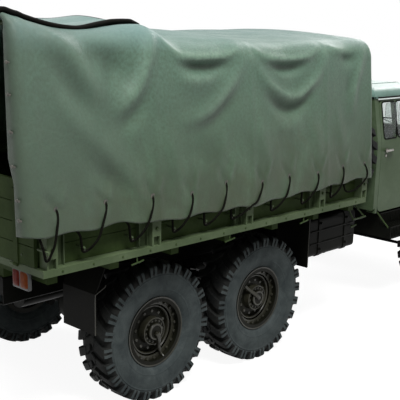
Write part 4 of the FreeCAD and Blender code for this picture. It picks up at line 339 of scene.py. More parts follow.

# %% [markdown]
# ## Rubber, glass, cloth and the small finishes
# Tyre rubber takes a pale dust in patches; the sidewall is also painted paler than the tread, as a
# highlight. The canvas has a plain weave in its own UV map, whose unit is a metre, with water stains.
# Its top is painted paler and bluer, as light and sky reflection; its ridges are painted pale, as rubbing
# and highlight, and its hollows dark, as dirt and shade; its rear lip is painted darker, as shade. The
# rope is near black.

# %% Rubber, canvas, rope, glass, lamps
def rubber(name, clean, dusty, dust_low, dust_high):
    """Rubber with dust in patches and fine moulded texture."""
    made, tree, shader = node_material(name)
    place = object_place(tree)
    dust = ramp(tree, noise(tree, place, 7, 7, 0.66, 0.5), 0.35, 0.7, dust_low, dust_high)
    fine = noise(tree, place, 90, 5, 0.7)
    share = times(tree, dust, ramp(tree, fine, 0.3, 0.65, 0.55, 1.0))
    fill(tree, shader, {"Base Color": blend(tree, share, clean, dusty), "Specular IOR Level": 0.05,
                        "Roughness": ramp(tree, fine, 0.3, 0.7, 0.48, 0.68),
                        "Normal": bumped(tree, fine, 0.35, 0.002)})
    return made


# the sidewall is paler and bluer than the tread: dust, and a painted highlight
sidewall_dust_and_highlight = rubber("tyre sidewall, dust and painted highlight", (0.028, 0.035, 0.036), (0.075, 0.088, 0.086), 0.1, 0.95)
tyre_tread = rubber("tyre tread", (0.009, 0.010, 0.010), (0.030, 0.030, 0.027), 0.0, 0.75)
flap_rubber = rubber("mudflap rubber", (0.002, 0.002, 0.0015), (0.005, 0.005, 0.0035), 0.0, 0.6)

canvas_cloth, tree, shader = node_material("canvas")
sewn = add(tree, "ShaderNodeUVMap", uv_map="metres").outputs[0]
place = object_place(tree)
behind, height = split(tree, place, 0), split(tree, place, 2)
patch = ramp(tree, noise(tree, place, 1.7, 7, 0.62, 0.8), 0.36, 0.66)
drawn_down = add(tree, "ShaderNodeMapping", {"Vector": sewn, "Scale": (3.2, 0.8, 1)}).outputs[0]
stain = ramp(tree, noise(tree, drawn_down, 2.1, 7, 0.66, 0.6), 0.40, 0.62)
worn = add(tree, "ShaderNodeAttribute", attribute_name="worn").outputs["Fac"]
patchiness = noise(tree, sewn, 14, 6, 0.7)
hem_noise = ramp(tree, noise(tree, place, 5, 6, 0.65), 0.35, 0.65)
green = blend(tree, patch, (0.030, 0.052, 0.026), (0.068, 0.118, 0.070))
# each layer: how much of it shows, and its colour
for share, tone in (
        (ramp(tree, noise(tree, place, 2.6, 7, 0.7, 1.1), 0.50, 0.66, 0.0, 0.7), (0.050, 0.060, 0.030)),
        (times(tree, stain, 0.7), (0.036, 0.050, 0.028)),
        # painted light: paler towards the top of the cover
        (ramp(tree, height, 1.75, 2.95), (0.098, 0.172, 0.128)),
        (ramp(tree, noise(tree, sewn, 46, 5, 0.7), 0.40, 0.66, 0.0, 0.55), (0.040, 0.058, 0.034)),
        # pale ridges: rubbing wear and a painted highlight
        (times(tree, ramp(tree, worn, 0.52, 0.98, 0.0, 0.55), ramp(tree, patchiness, 0.3, 0.62, 0.1, 1.0)),
         (0.25, 0.36, 0.27)),
        # dark hollows: dirt and painted shade
        (times(tree, ramp(tree, worn, 0.48, 0.08, 0.0, 0.75), ramp(tree, patchiness, 0.2, 0.55, 0.5, 1.0)),
         (0.024, 0.038, 0.024)),
        # painted sky reflection: paler and bluer on the roof
        (ramp(tree, height, 2.74, 2.90, 0.0, 0.7), (0.120, 0.195, 0.190)),
        # painted shade: darker on the rear lip
        (ramp(tree, behind, -3.44, -3.52, 0.0, 0.6), (0.034, 0.047, 0.026)),
        (times(tree, ramp(tree, behind, -2.5, -3.2, 0.0, 0.62), ramp(tree, patchiness, 0.28, 0.6, 0.55, 1.0)),
         (0.058, 0.082, 0.060)),
        (times(tree, ramp(tree, height, 1.9, 1.5), hem_noise, 0.55), (0.040, 0.050, 0.026))):
    green = blend(tree, share, green, tone)
weave = [add(tree, "ShaderNodeTexWave", {"Vector": sewn, "Scale": 120, "Distortion": 0.4},
             bands_direction=way).outputs["Fac"] for way in "XY"]
cloth_height = maths(tree, "ADD", times(tree, maths(tree, "ADD", *weave), 0.06),
                     times(tree, noise(tree, sewn, 9, 7, 0.6, 1.2), 1.6))
fill(tree, shader, {"Base Color": green, "Specular IOR Level": 0.26, "Sheen Weight": 0.05,
                    "Roughness": ramp(tree, noise(tree, place, 3.1, 6, 0.62), 0.3, 0.7, 0.34, 0.54),
                    "Normal": bumped(tree, cloth_height, 0.5, 0.006)})

rope_fibre, tree, shader = node_material("rope")
fibre = noise(tree, object_place(tree), 130, 4, 0.7)
rope_colour = blend(tree, ramp(tree, fibre, 0.35, 0.65), (0.002, 0.002, 0.0015), (0.008, 0.008, 0.006))
fill(tree, shader, {"Base Color": rope_colour, "Roughness": 0.9, "Specular IOR Level": 0.03,
                    "Normal": bumped(tree, fibre, 0.6, 0.002)})

clear_glass, tree, shader = node_material("cab glass")
film = noise(tree, object_place(tree), 4.5, 6, 0.65, 0.4)
glass_colour = blend(tree, ramp(tree, film, 0.35, 0.7), (0.70, 0.76, 0.74), (0.60, 0.64, 0.62))
fill(tree, shader, {"Base Color": glass_colour, "Roughness": ramp(tree, film, 0.35, 0.7, 0.0, 0.03),
                    "Transmission Weight": 0.94, "IOR": 1.12})


def lens_material(name, deep, pale, rough=0.30, through=0.0, shine=0.04):
    """Moulded lens: faint ribs from a wave across Y, tinted between two colours."""
    made, tree, shader = node_material(name)
    place = object_place(tree)
    ribs = add(tree, "ShaderNodeTexWave", {"Vector": place, "Scale": 22, "Distortion": 0.0},
               bands_direction="Y").outputs["Fac"]
    film = noise(tree, place, 30, 5)
    fill(tree, shader, {"Base Color": blend(tree, ramp(tree, film, 0.35, 0.65), deep, pale),
                        "Roughness": ramp(tree, film, 0.3, 0.7, rough, rough + 0.15),
                        "Transmission Weight": through, "Specular IOR Level": shine,
                        "Normal": bumped(tree, ribs, 0.4, 0.002)})
    return made


red_lens = lens_material("red lens", (0.085, 0.010, 0.007), (0.13, 0.018, 0.010))
amber_lens = lens_material("amber lens", (0.14, 0.030, 0.008), (0.19, 0.048, 0.010))
lamp_glass = lens_material("headlamp glass", (0.55, 0.57, 0.57), (0.7, 0.72, 0.72), 0.05, 0.35, 0.5)


def plain(name, first, second, rough_low, rough_high, metal=0.0, scale=30, bump=0.3):
    """A finish of two near colours in fine noise, for leather, plastic and bare metal."""
    made, tree, shader = node_material(name)
    fine = noise(tree, object_place(tree), scale, 6, 0.65)
    fill(tree, shader, {"Base Color": blend(tree, ramp(tree, fine, 0.35, 0.65), first, second),
                        "Roughness": ramp(tree, fine, 0.3, 0.7, rough_low, rough_high),
                        "Metallic": metal, "Normal": bumped(tree, fine, bump, 0.002)})
    return made


bright_steel = plain("worn bright steel", (0.42, 0.42, 0.40), (0.22, 0.20, 0.18), 0.22, 0.5, 0.9)
dull_steel = plain("dull fastener steel", (0.05, 0.052, 0.045), (0.11, 0.10, 0.085), 0.4, 0.65, 0.5)
seat_cover = plain("seat leathercloth", (0.016, 0.016, 0.014), (0.034, 0.032, 0.028), 0.38, 0.6, 0, 70, 0.5)
dark_plastic = plain("dark moulded plastic", (0.012, 0.013, 0.013), (0.022, 0.023, 0.023), 0.35, 0.55, 0, 120)
print("materials:", len(bpy.data.materials))

# %% [markdown]
# ## Finishes on the CAD pieces
# A CAD piece whose shape is right keeps its mesh and only changes its finish.

# %% Give each CAD piece its finish
BY_SLOT = {"cab_paint": cab_paint, "bed_paint": bed_paint, "board_paint": board_paint,
           "chassis_paint": chassis_paint, "engine_iron": engine_paint, "tyre": sidewall_dust_and_highlight,
           "rim_paint": rim_paint, "canvas": canvas_cloth, "rope": rope_fibre, "glass": clear_glass,
           "seat": seat_cover, "lamp": dark_plastic, "steel": exhaust_steel, "rubber": flap_rubber,
           "dash": dark_plastic}
for part in frame["record"]["subparts"]:
    mesh = frame["nodes"][part["node"]].data
    mesh.materials.clear()
    mesh.materials.append(BY_SLOT[part["material_slot"]])
# where one slot holds pieces of different looks
for node, finish in (("bed_posts", post_paint), ("bed_sills", post_paint), ("bed_bearers", board_paint),
                     ("cab_roof", roof_paint_with_sky_reflection), ("tanks", chassis_paint), ("running_boards", chassis_paint)):
    frame["nodes"][node].data.materials[0] = finish
print("finishes on", len(frame["nodes"]), "CAD pieces")

# %% [markdown]
# ## Surfaces from arrays
# A form is a pair: an array of points, and a list of faces that name them. A grid of points becomes
# quads; a turned profile, a swept rod and a chamfered block are grids too. Forms are put together
# into one mesh, so a row of bolts is one piece.

# %% Forms and pieces
def grid(points, loop_rows=False, loop_columns=False, close_ends=False):
    """Form of a rows x columns array of points. Corner (i, j) joins (i+1, j), (i+1, j+1), (i, j+1); a loop
    joins the last to the first. Closed ends are one face over the first row and one over the last."""
    points = np.asarray(points, float)
    rows, columns = points.shape[:2]
    number = np.arange(rows * columns).reshape(rows, columns)
    below = np.roll(number, -1, 0) if loop_rows else number[1:]
    here = number if loop_rows else number[:-1]
    if loop_columns:
        quads = np.stack([here, below, np.roll(below, -1, 1), np.roll(here, -1, 1)], -1)
    else:
        quads = np.stack([here[:, :-1], below[:, :-1], below[:, 1:], here[:, 1:]], -1)
    faces = quads.reshape(-1, 4).tolist()
    if close_ends:
        faces += [number[0].tolist(), number[-1][::-1].tolist()]
    return points.reshape(-1, 3), faces


def several(form, offsets):
    """The form repeated at each offset."""
    points, faces = form
    offsets = np.asarray(offsets, float).reshape(-1, 3)
    copies = (points[None] + offsets[:, None]).reshape(-1, 3)
    return copies, [[corner + copy * len(points) for corner in face]
                    for copy in range(len(offsets)) for face in faces]


def joined(*forms):
    """Forms put together as one."""
    points, faces, start = [], [], 0
    for some_points, some_faces in forms:
        points.append(some_points)
        faces += [[corner + start for corner in face] for face in some_faces]
        start += len(some_points)
    return np.concatenate(points), faces


def moved(form, by=(0, 0, 0), turn=None, flip=None):
    """The form turned by a 3 x 3 array, mirrored in an axis, then moved."""
    points, faces = form
    if turn is not None:
        points = points @ np.asarray(turn, float).T
    if flip is not None:
        points = points * np.where(np.arange(3) == flip, -1, 1)
        faces = [face[::-1] for face in faces]
    return points + np.asarray(by, float), faces


def turn_about(axis, angle):
    """Turn by angle about X, Y or Z (0, 1, 2)."""
    c, s = math.cos(angle), math.sin(angle)
    first, second = (axis + 1) % 3, (axis + 2) % 3
    made = np.eye(3)
    made[first, first] = made[second, second] = c
    made[first, second], made[second, first] = -s, s
    return made


def piece(name, form, finish, body, slot, smooth=35, bevel=0.0, stands_for=(), extra=None, picks=None):
    """A Blender object of a form, its faces turned outwards, shaded smooth below an angle in degrees,
    riding on a body. An extra finish goes on the faces that an array picks with a 1."""
    points, faces = form
    mesh = bpy.data.meshes.new(name)
    mesh.from_pydata(points.tolist(), [], faces)
    work = bmesh.new()
    work.from_mesh(mesh)
    bmesh.ops.recalc_face_normals(work, faces=work.faces)
    work.to_mesh(mesh)
    work.free()
    mesh.materials.append(finish)
    if extra:
        mesh.materials.append(extra)
        mesh.polygons.foreach_set("material_index", np.asarray(picks, np.int32))
    made = placed(name, mesh)
    mesh.polygons.foreach_set("use_smooth", np.ones(len(mesh.polygons), bool))
    mesh.set_sharp_from_angle(angle=math.radians(smooth))
    if bevel:
        edge = made.modifiers.new("soft edges", "BEVEL")
        edge.width, edge.segments, edge.limit_method = bevel, 2, "ANGLE"
        edge.harden_normals = False
    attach(made, body)
    if stands_for:
        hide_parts(*stands_for)
    return made


# turns that lay Z along the named axis
AXES = {"X": np.array([[0, 0, 1], [1, 0, 0], [0, 1, 0]]), "Y": np.array([[0, 1, 0], [0, 0, 1], [1, 0, 0]]),
        "Z": np.eye(3)}


def turned(profile, axis="Z", at=(0, 0, 0), sides=32, close=True, ring=False):
    """Profile of (radius, distance along the axis) pairs turned about the axis: each pair (r, d) becomes the
    ring (r cos a, r sin a, d), laid along the named axis and moved to at. Ends are closed if asked; a ring
    joins its last profile point to the first."""
    profile = np.asarray(profile, float)
    angle = np.arange(sides) * 2 * np.pi / sides
    circle = np.stack([np.cos(angle), np.sin(angle)], -1)
    along_axis = np.broadcast_to(profile[:, None, 1:], (len(profile), sides, 1))
    points = np.concatenate([profile[:, None, :1] * circle[None], along_axis], -1)
    return moved(grid(points, loop_rows=ring, loop_columns=True, close_ends=close and not ring), at, AXES[axis])


def swept(path, radius, sides=8, flat=1.0, loop=False):
    """A rod along points: each point carries a ring of the radius across the direction of travel, with
    one side vector passed along by taking away its part along the new direction. Flat narrows the ring
    one way."""
    path = np.asarray(path, float)
    if loop:
        ahead = np.roll(path, -1, 0) - np.roll(path, 1, 0)
    else:
        ahead = np.gradient(path, axis=0)
    ahead /= np.linalg.norm(ahead, axis=1, keepdims=True)
    side = np.cross(ahead[0], [0.123, 0.31, 0.94] if abs(ahead[0][2]) < 0.9 else [1, 0.2, 0])
    sides_at = []
    for along in ahead:
        side = side - along * (side @ along)
        side /= np.linalg.norm(side)
        sides_at.append(side)
    sides_at = np.array(sides_at)
    other = np.cross(ahead, sides_at)
    angle = np.arange(sides) * 2 * np.pi / sides
    radius = np.broadcast_to(np.asarray(radius, float), (len(path),))
    ring = (np.cos(angle)[None, :, None] * sides_at[:, None]
            + flat * np.sin(angle)[None, :, None] * other[:, None])
    points = path[:, None] + radius[:, None, None] * ring
    return grid(points, loop_rows=loop, loop_columns=True, close_ends=not loop)


def chamfered(low, high, edge=0.003):
    """A block from low to high with chamfered edges: an eight-cornered outline, drawn in at top and bottom."""
    low, high = np.asarray(low, float), np.asarray(high, float)
    edge = min(edge, *(0.45 * (high - low)))
    x0, y0, z0 = low
    x1, y1, z1 = high

    def ring(inset, z):
        """The outline's eight corners at a height, drawn in by the inset."""
        a, b, c, d = x0 + inset, x1 - inset, y0 + inset, y1 - inset
        return [(a + edge, c, z), (b - edge, c, z), (b, c + edge, z), (b, d - edge, z), (b - edge, d, z),
                (a + edge, d, z), (a, d - edge, z), (a, c + edge, z)]
    points = np.array([ring(edge * 0.6, z0), ring(0, z0 + edge), ring(0, z1 - edge), ring(edge * 0.6, z1)])
    return grid(points, loop_columns=True, close_ends=True)


def bolts(places, axis="Y", radius=0.011, tall=0.009, way=1):
    """Hexagon heads on round washers at each place, standing out along the axis."""
    washer = turned([(radius * 1.5, 0), (radius * 1.5, 0.002)], sides=12)
    head = turned([(radius * 1.12, 0.002), (radius * 1.12, tall * 0.85), (radius * 0.9, tall)], sides=6)
    one = joined(washer, head)
    if way < 0:
        one = moved(one, flip=2)
    one = moved(one, turn=AXES[axis])
    return several(one, places)


print("helpers ready")

# %% [markdown]
# ## Tyres
# A cross-country tyre is a smooth casing with heavy bars moulded on it. The casing is one profile
# turned about the axle. Each bar starts near the crown's centre line, slants back to the shoulder and
# ends on it with a notch. The bars of the two sides are half a pitch apart, so they alternate.

# %% Tyre casing
BARS = 25
CASING_SIDES = 112
TREAD_FROM = 0.485
# radius and distance from the middle plane, from the crown's centre line to the bead
CASING = np.array([(0.5455, 0.0), (0.5450, 0.05), (0.5410, 0.10), (0.5300, 0.135), (0.5080, 0.153),
                   (0.4820, 0.1585), (0.4760, 0.1590), (0.4730, 0.1625), (0.4680, 0.1630), (0.4640, 0.1605),
                   (0.4400, 0.1630), (0.4100, 0.1635), (0.3800, 0.1610), (0.3550, 0.1545), (0.3500, 0.1560),
                   (0.3450, 0.1525), (0.3200, 0.1430), (0.3050, 0.1330), (0.2920, 0.1200), (0.2600, 0.1140)])


def rounded(points, times=1):
    """Corners of an open line cut at a quarter and three quarters of each run, so many times over."""
    points = np.asarray(points, float)
    for _ in range(times):
        cuts = [0.75 * points[:-1] + 0.25 * points[1:], 0.25 * points[:-1] + 0.75 * points[1:]]
        points = np.concatenate([points[:1], np.stack(cuts, 1).reshape(-1, points.shape[1]), points[-1:]])
    return points


half = rounded(CASING)
full = np.concatenate([half[::-1] * [1, -1], half[1:]])
casing = turned(full, "Y", sides=CASING_SIDES, close=False)
casing_radius = full[:-1, 0] * 0.5 + full[1:, 0] * 0.5
casing_pick = np.repeat((casing_radius > TREAD_FROM).astype(int), CASING_SIDES)
print("casing:", len(full), "rings")

# %% Tread bars
# one bar along its run: (t, radius and distance out of its top, radius and distance out of its root)
BAR = np.array([(0.00, 0.5692, 0.005, 0.5395, 0.005), (0.235, 0.5692, 0.045, 0.5390, 0.045),
                (0.245, 0.5500, 0.046, 0.5390, 0.046), (0.285, 0.5500, 0.053, 0.5390, 0.053),
                (0.295, 0.5690, 0.054, 0.5390, 0.054), (0.45, 0.5680, 0.100, 0.5350, 0.098),
                (0.58, 0.5650, 0.138, 0.5260, 0.126), (0.64, 0.5580, 0.156, 0.5160, 0.138),
                (0.70, 0.5460, 0.164, 0.5070, 0.145), (0.735, 0.5380, 0.1645, 0.5000, 0.147),
                (0.745, 0.5360, 0.1646, 0.4980, 0.148), (0.90, 0.5040, 0.1648, 0.4880, 0.151),
                (0.91, 0.5020, 0.1648, 0.4870, 0.151), (0.96, 0.4880, 0.1648, 0.4830, 0.152),
                (1.00, 0.4820, 0.1600, 0.4770, 0.153)])
# the notch in a bar's end: between which t, half its angle, and how deep; elsewhere it is almost level
NOTCH_FROM, NOTCH_TO, NOTCH_HALF, NOTCH_DEEP, LEVEL = 0.74, 0.905, 0.019, 0.0075, 0.0004
FLANK_LEAN = 0.009
SIDEWALL_FROM = 0.63


def tread_bars(side, start):
    """Bars on one side and the finish of each face. Across a bar the columns are root, top, top, floor,
    floor, top, top, root; the floor is the notch in the bar's outer end. The bar's middle angle is
    start + slant(t), and half its width is wide(t), with flanks that lean by a fixed angle."""
    t, top_r, top_w, root_r, root_w = BAR.T
    cut = (t > NOTCH_FROM) & (t < NOTCH_TO)
    floor_r = top_r - np.where(cut, 0.0, LEVEL)
    floor_w = top_w - np.where(cut, NOTCH_DEEP, LEVEL)
    middle = start + np.interp(t, [0, 0.58, 1], [0.168, 0.013, 0.0])
    wide = np.interp(t, [0, 0.12, 0.6, 1], [0.042, 0.054, 0.065, 0.067])
    same = NOTCH_HALF + 0 * wide
    columns_r = np.stack([root_r, top_r, top_r, floor_r, floor_r, top_r, top_r, root_r], -1)
    columns_w = np.stack([root_w, top_w, top_w, floor_w, floor_w, top_w, top_w, root_w], -1) * side
    half_angle = np.stack([-wide - FLANK_LEAN, -wide, -same, -same, same, same, wide, wide + FLANK_LEAN], -1)
    turns = np.arange(BARS) * 2 * np.pi / BARS
    angle = (middle[:, None] + half_angle)[None] + turns[:, None, None]
    points = np.stack([columns_r * np.sin(angle), np.broadcast_to(columns_w, angle.shape),
                       columns_r * np.cos(angle)], -1)
    parts = [grid(bar, loop_columns=True, close_ends=True) for bar in points]
    rows, columns = len(t) - 1, 8
    outer_end = np.repeat(t[:-1] > SIDEWALL_FROM, columns) & np.tile(np.isin(np.arange(columns), (1, 5)), rows)
    picks = np.concatenate([1 - outer_end.astype(int), [1, 0]])
    return joined(*parts), np.tile(picks, BARS)


left_bars, left_picks = tread_bars(1, 0.0)
right_bars, right_picks = tread_bars(-1, np.pi / BARS)
tyre_form = joined(casing, left_bars, right_bars)
tyre_pick = np.concatenate([casing_pick, left_picks, right_picks])
print("one tyre:", len(tyre_form[1]), "faces")

# %% [markdown]
# ## What is bolted to each wheel
# The rim flange carries a ring of bolts, the disc has wheel nuts, the hub has its own ring, and a
# guarded air line runs from the hub to the valve at the rim. All of them take a paint lighter than the
# dish, which stands for the highlights they catch: a painted highlight.

# %% Wheel fittings
# rings of (radius, distance out) profiles, with their sides: lock ring, flange, rib, hub rim
WHEEL_RINGS = (
    ([(0.262, 0.118), (0.276, 0.1275), (0.282, 0.1295), (0.2866, 0.1285), (0.2868, 0.120), (0.272, 0.116)], 72),
    ([(0.212, 0.072), (0.214, 0.080), (0.262, 0.082), (0.262, 0.072)], 72),
    ([(0.186, 0.027), (0.188, 0.060), (0.193, 0.067), (0.200, 0.067), (0.206, 0.060), (0.212, 0.027)], 72),
    ([(0.101, 0.090), (0.102, 0.107), (0.106, 0.110), (0.112, 0.107), (0.116, 0.027)], 56))
CAP_RING = [(0.050, 0.122), (0.053, 0.1295), (0.066, 0.1295), (0.070, 0.122)]
AIR_LINE = [(0.0, 0.128, 0.0), (0.0, 0.135, 0.03), (0.0, 0.122, 0.095), (0.0, 0.095, 0.150),
            (0.0, 0.086, 0.200), (0.0, 0.098, 0.235), (0.0, 0.118, 0.252)]
LINE_GUARD = [(0.0, 0.132, 0.010), (0.0, 0.138, 0.040), (0.0, 0.124, 0.090), (0.0, 0.098, 0.140),
              (0.0, 0.090, 0.205)]


def ring_places(count, radius, out, start=0.0):
    """Count places round a circle of the radius, at a distance out along the axle."""
    angle = start + np.arange(count) * 2 * np.pi / count
    return np.stack([radius * np.sin(angle), np.full(count, out), radius * np.cos(angle)], -1)


def wheel_fittings():
    """All fittings about the origin, standing out along +Y."""
    parts = [bolts(ring_places(20, 0.238, 0.081), "Y", 0.0110, 0.016),
             bolts(ring_places(12, 0.152, 0.030), "Y", 0.0135, 0.024),
             bolts(ring_places(14, 0.088, 0.100, 0.1), "Y", 0.0070, 0.008)]
    parts += [turned(profile, "Y", sides=sides, ring=True) for profile, sides in WHEEL_RINGS]
    guard = rounded(LINE_GUARD)
    parts += [swept(rounded(AIR_LINE, 2), 0.0085, 8), swept(guard, np.linspace(0.023, 0.014, len(guard)), 10),
              turned(CAP_RING, "Y", sides=40, ring=True)]
    return joined(*parts)


fittings = wheel_fittings()


def wheel(tyre_name, at, turn, body, names, flip=None):
    """A treaded tyre in place of the CAD one, and its fittings, both turned about the axle and moved."""
    piece(names[0], moved(tyre_form, at, turn), sidewall_dust_and_highlight, body, "tyre", 40, stands_for=[tyre_name],
          extra=tyre_tread, picks=tyre_pick)
    nuts = moved(moved(fittings, turn=turn), flip=flip)
    piece(names[1], moved(nuts, at), bolt_paint_with_highlight, body, "rim_paint", 30)


def box_middle(node):
    """The middle of a CAD piece's box."""
    return sum(np.array(corner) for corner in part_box(node)) / 2


# how far each wheel stands turned, left and right
STOPPED_AT = {"front": (1.35, -0.65), "middle": (3.25, -0.83), "rear": (5.15, 2.76)}
for axle_name, stops in STOPPED_AT.items():
    for side_name, stop, flip in (("left", stops[0], None), ("right", stops[1], 1)):
        name = axle_name + "_" + side_name
        wheel("tyre_" + name, box_middle("tyre_" + name), turn_about(1, stop), "wheel_" + name,
              ("treaded_tyre_" + name, "wheel_fittings_" + name), flip)
print("six wheels done")

# %% [markdown]
# The spare stands across the truck behind the cab, with its dish towards the cargo body.

# %% Spare wheel
lay_across = np.array([[0, -1, 0], [1, 0, 0], [0, 0, 1]])
wheel("spare_tyre", box_middle("spare_tyre"), lay_across @ turn_about(1, 0.7), "chassis",
      ("treaded_spare_tyre", "spare_wheel_fittings"))
print("spare done")

# %% [markdown]
# ## The canvas cover
# The cover is one sewn sheet pulled over five hoops and roped down along its hem. Cloth simulation
# could make it, but the folds here are made by the pull of known ropes, so each is written down as a
# line with a height, and the sheet is pushed out or in along its own normal. The sheet's two
# directions are the length of the truck and the way round the hoops, from one hem to the other.

# %% The line round the hoops
canvas_low, canvas_high = (np.array(corner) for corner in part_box("canvas_cover"))
REAR_X, FRONT_X, HEM_Z, HEM_Y = canvas_low[0], canvas_high[0], canvas_low[2], canvas_high[1]
SHOULDER, SHOULDER_REACH, CROWN_Z = (1.1883, 2.8027), 0.15308, 2.8933
LEVEL_FROM_Y, LEVEL_DROP = 0.61, 0.0233
BOW_X = (-3.390, -2.372, -1.340, -0.350, 0.330)


def smooth_step(value, low, high):
    """0 below low, 1 above high, and 3t^2 - 2t^3 between."""
    t = np.clip((value - low) / (high - low), 0, 1)
    return t * t * (3 - 2 * t)


def hoop_line():
    """Right half of the line, from the hem to the crown: the leaning side, the shoulder as a quadratic curve
    through its corner, and the roof, which rises to the crown and levels out there."""
    corner, top = np.array(SHOULDER), np.array([0.0, CROWN_Z])
    lean = np.array([HEM_Y, HEM_Z]) - corner
    roof = top - corner
    start = corner + lean / np.linalg.norm(lean) * SHOULDER_REACH
    end = corner + roof / np.linalg.norm(roof) * SHOULDER_REACH
    t = np.linspace(0, 1, 25)[:, None]
    shoulder = (1 - t) ** 2 * start + 2 * t * (1 - t) * corner + t ** 2 * end
    y = np.linspace(end[0], 0, 40)[1:]
    straight = CROWN_Z - (CROWN_Z - SHOULDER[1]) / SHOULDER[0] * y
    level = np.where(y < LEVEL_FROM_Y, LEVEL_DROP * (1 - y / LEVEL_FROM_Y) ** 2, 0)
    return np.concatenate([[[HEM_Y, HEM_Z]], shoulder, np.stack([y, straight - level], -1)])


half_hoop = hoop_line()
HOOP = np.concatenate([half_hoop * [-1, 1], half_hoop[-2::-1]])
HOOP_T = np.concatenate([[0], np.cumsum(np.hypot(*np.diff(HOOP, axis=0).T))])
ROUND = HOOP_T[-1]
slope = np.gradient(HOOP, HOOP_T, axis=0)
HOOP_OUT = np.stack([-slope[:, 1], slope[:, 0]], -1)
HOOP_OUT /= np.linalg.norm(HOOP_OUT, axis=1, keepdims=True)
print("hem to hem: %.2f m" % ROUND)

# %% [markdown]
# The ropes pull each hem panel down and back. Tension runs in long ridges from the corner of a hoop
# to the grommet it pulls on; below the shoulder the slack between two hoops hangs as one long crease.

# %% Folds of the side, in metres: points (x, z), height, softness
STROKES = (
    # rear bay: a long ridge from the corner, the hollow triangle beside it, and the pull of the second hoop
    (((-3.40, 2.84), (-3.25, 2.75), (-3.114, 2.681), (-2.978, 2.542), (-2.84, 2.42)), 0.024, 0.070),
    (((-3.26, 2.60), (-3.10, 2.49), (-2.95, 2.35)), -0.012, 0.060),
    (((-2.98, 2.69), (-2.80, 2.63), (-2.66, 2.57), (-2.58, 2.50)), -0.022, 0.070),
    (((-2.78, 2.60), (-2.72, 2.46)), -0.014, 0.060),
    (((-3.30, 2.68), (-3.20, 2.50), (-3.143, 2.357), (-2.908, 2.172), (-2.706, 2.02),
      (-2.50, 1.751)), 0.014, 0.085),
    (((-2.385, 2.80), (-2.42, 2.66), (-2.50, 2.50), (-2.60, 2.41), (-2.735, 2.352)), 0.019, 0.052),
    (((-2.45, 2.42), (-2.58, 2.31), (-2.74, 2.24)), -0.010, 0.050),
    (((-2.97, 2.04), (-2.80, 1.90), (-2.66, 1.80)), -0.012, 0.065),
    # second bay: a hanging crease, its hollow and belly, and a ridge down to the left
    (((-2.33, 2.80), (-2.18, 2.70), (-2.0, 2.675), (-1.80, 2.668), (-1.60, 2.68), (-1.42, 2.77)), 0.013, 0.028),
    (((-2.12, 2.628), (-1.86, 2.600), (-1.60, 2.622)), -0.020, 0.034),
    (((-2.14, 2.55), (-1.95, 2.52), (-1.75, 2.53)), 0.012, 0.060),
    (((-1.40, 2.68), (-1.467, 2.595), (-1.635, 2.433), (-1.829, 2.297), (-2.0, 2.26),
      (-2.16, 2.256)), 0.015, 0.055),
    (((-1.50, 2.44), (-1.70, 2.27), (-1.95, 2.17)), -0.009, 0.055),
    # third bay: the same crease, and a deep swag between the hoops
    (((-1.31, 2.80), (-1.195, 2.69), (-1.0, 2.662), (-0.80, 2.655), (-0.60, 2.67),
      (-0.42, 2.77)), 0.013, 0.028),
    (((-1.12, 2.612), (-0.86, 2.586), (-0.63, 2.61)), -0.018, 0.033),
    (((-1.30, 2.68), (-1.217, 2.567), (-1.082, 2.452), (-0.95, 2.385), (-0.83, 2.362), (-0.70, 2.385),
      (-0.598, 2.445), (-0.437, 2.544), (-0.38, 2.66)), 0.018, 0.042),
    (((-1.16, 2.40), (-1.0, 2.295), (-0.852, 2.258), (-0.70, 2.285), (-0.56, 2.38)), -0.019, 0.040),
    (((-1.05, 2.16), (-0.85, 2.12), (-0.68, 2.16)), 0.007, 0.060),
    # front bay
    (((-0.34, 2.78), (-0.20, 2.715), (-0.03, 2.705)), 0.012, 0.030),
    (((-0.12, 2.655), (0.003, 2.627), (0.11, 2.65)), -0.016, 0.036),
    (((0.25, 2.73), (0.18, 2.62), (0.135, 2.528), (0.067, 2.406), (0.04, 2.18)), 0.012, 0.042),
    (((0.02, 2.50), (-0.04, 2.34)), -0.008, 0.050),
    # faint pulls down to the hem
    (((-2.30, 2.25), (-2.20, 2.05), (-2.14, 1.80)), 0.006, 0.060),
    (((-1.28, 2.30), (-1.20, 2.02), (-1.10, 1.80)), 0.006, 0.060),
    (((-1.62, 2.20), (-1.70, 2.00), (-1.76, 1.78)), 0.005, 0.060),
    (((-0.55, 2.20), (-0.48, 2.02), (-0.44, 1.80)), 0.006, 0.060),
    (((-0.22, 2.32), (-0.14, 2.05), (-0.06, 1.78)), 0.005, 0.050),
    (((-1.98, 2.08), (-1.90, 1.95), (-1.80, 1.90)), -0.006, 0.080),
    (((-1.0, 2.02), (-0.90, 1.93), (-0.78, 1.92)), -0.006, 0.080),
)
GROMMETS = ((-3.276, 1.759), (-2.860, 1.752), (-2.437, 1.759), (-2.032, 1.736), (-1.649, 1.771),
            (-1.220, 1.738), (-0.864, 1.738), (-0.477, 1.714), (-0.091, 1.722), (0.248, 1.713))
HEM_LINE = np.array([(-3.55, 1.62), (-3.405, 1.615), (-3.125, 1.60), (-2.745, 1.605), (-2.515, 1.58),
                     (-2.365, 1.555), (-2.115, 1.553), (-1.725, 1.547), (-1.31, 1.530), (-0.855, 1.551),
                     (-0.435, 1.558), (-0.055, 1.571), (0.185, 1.575), (0.45, 1.575)])
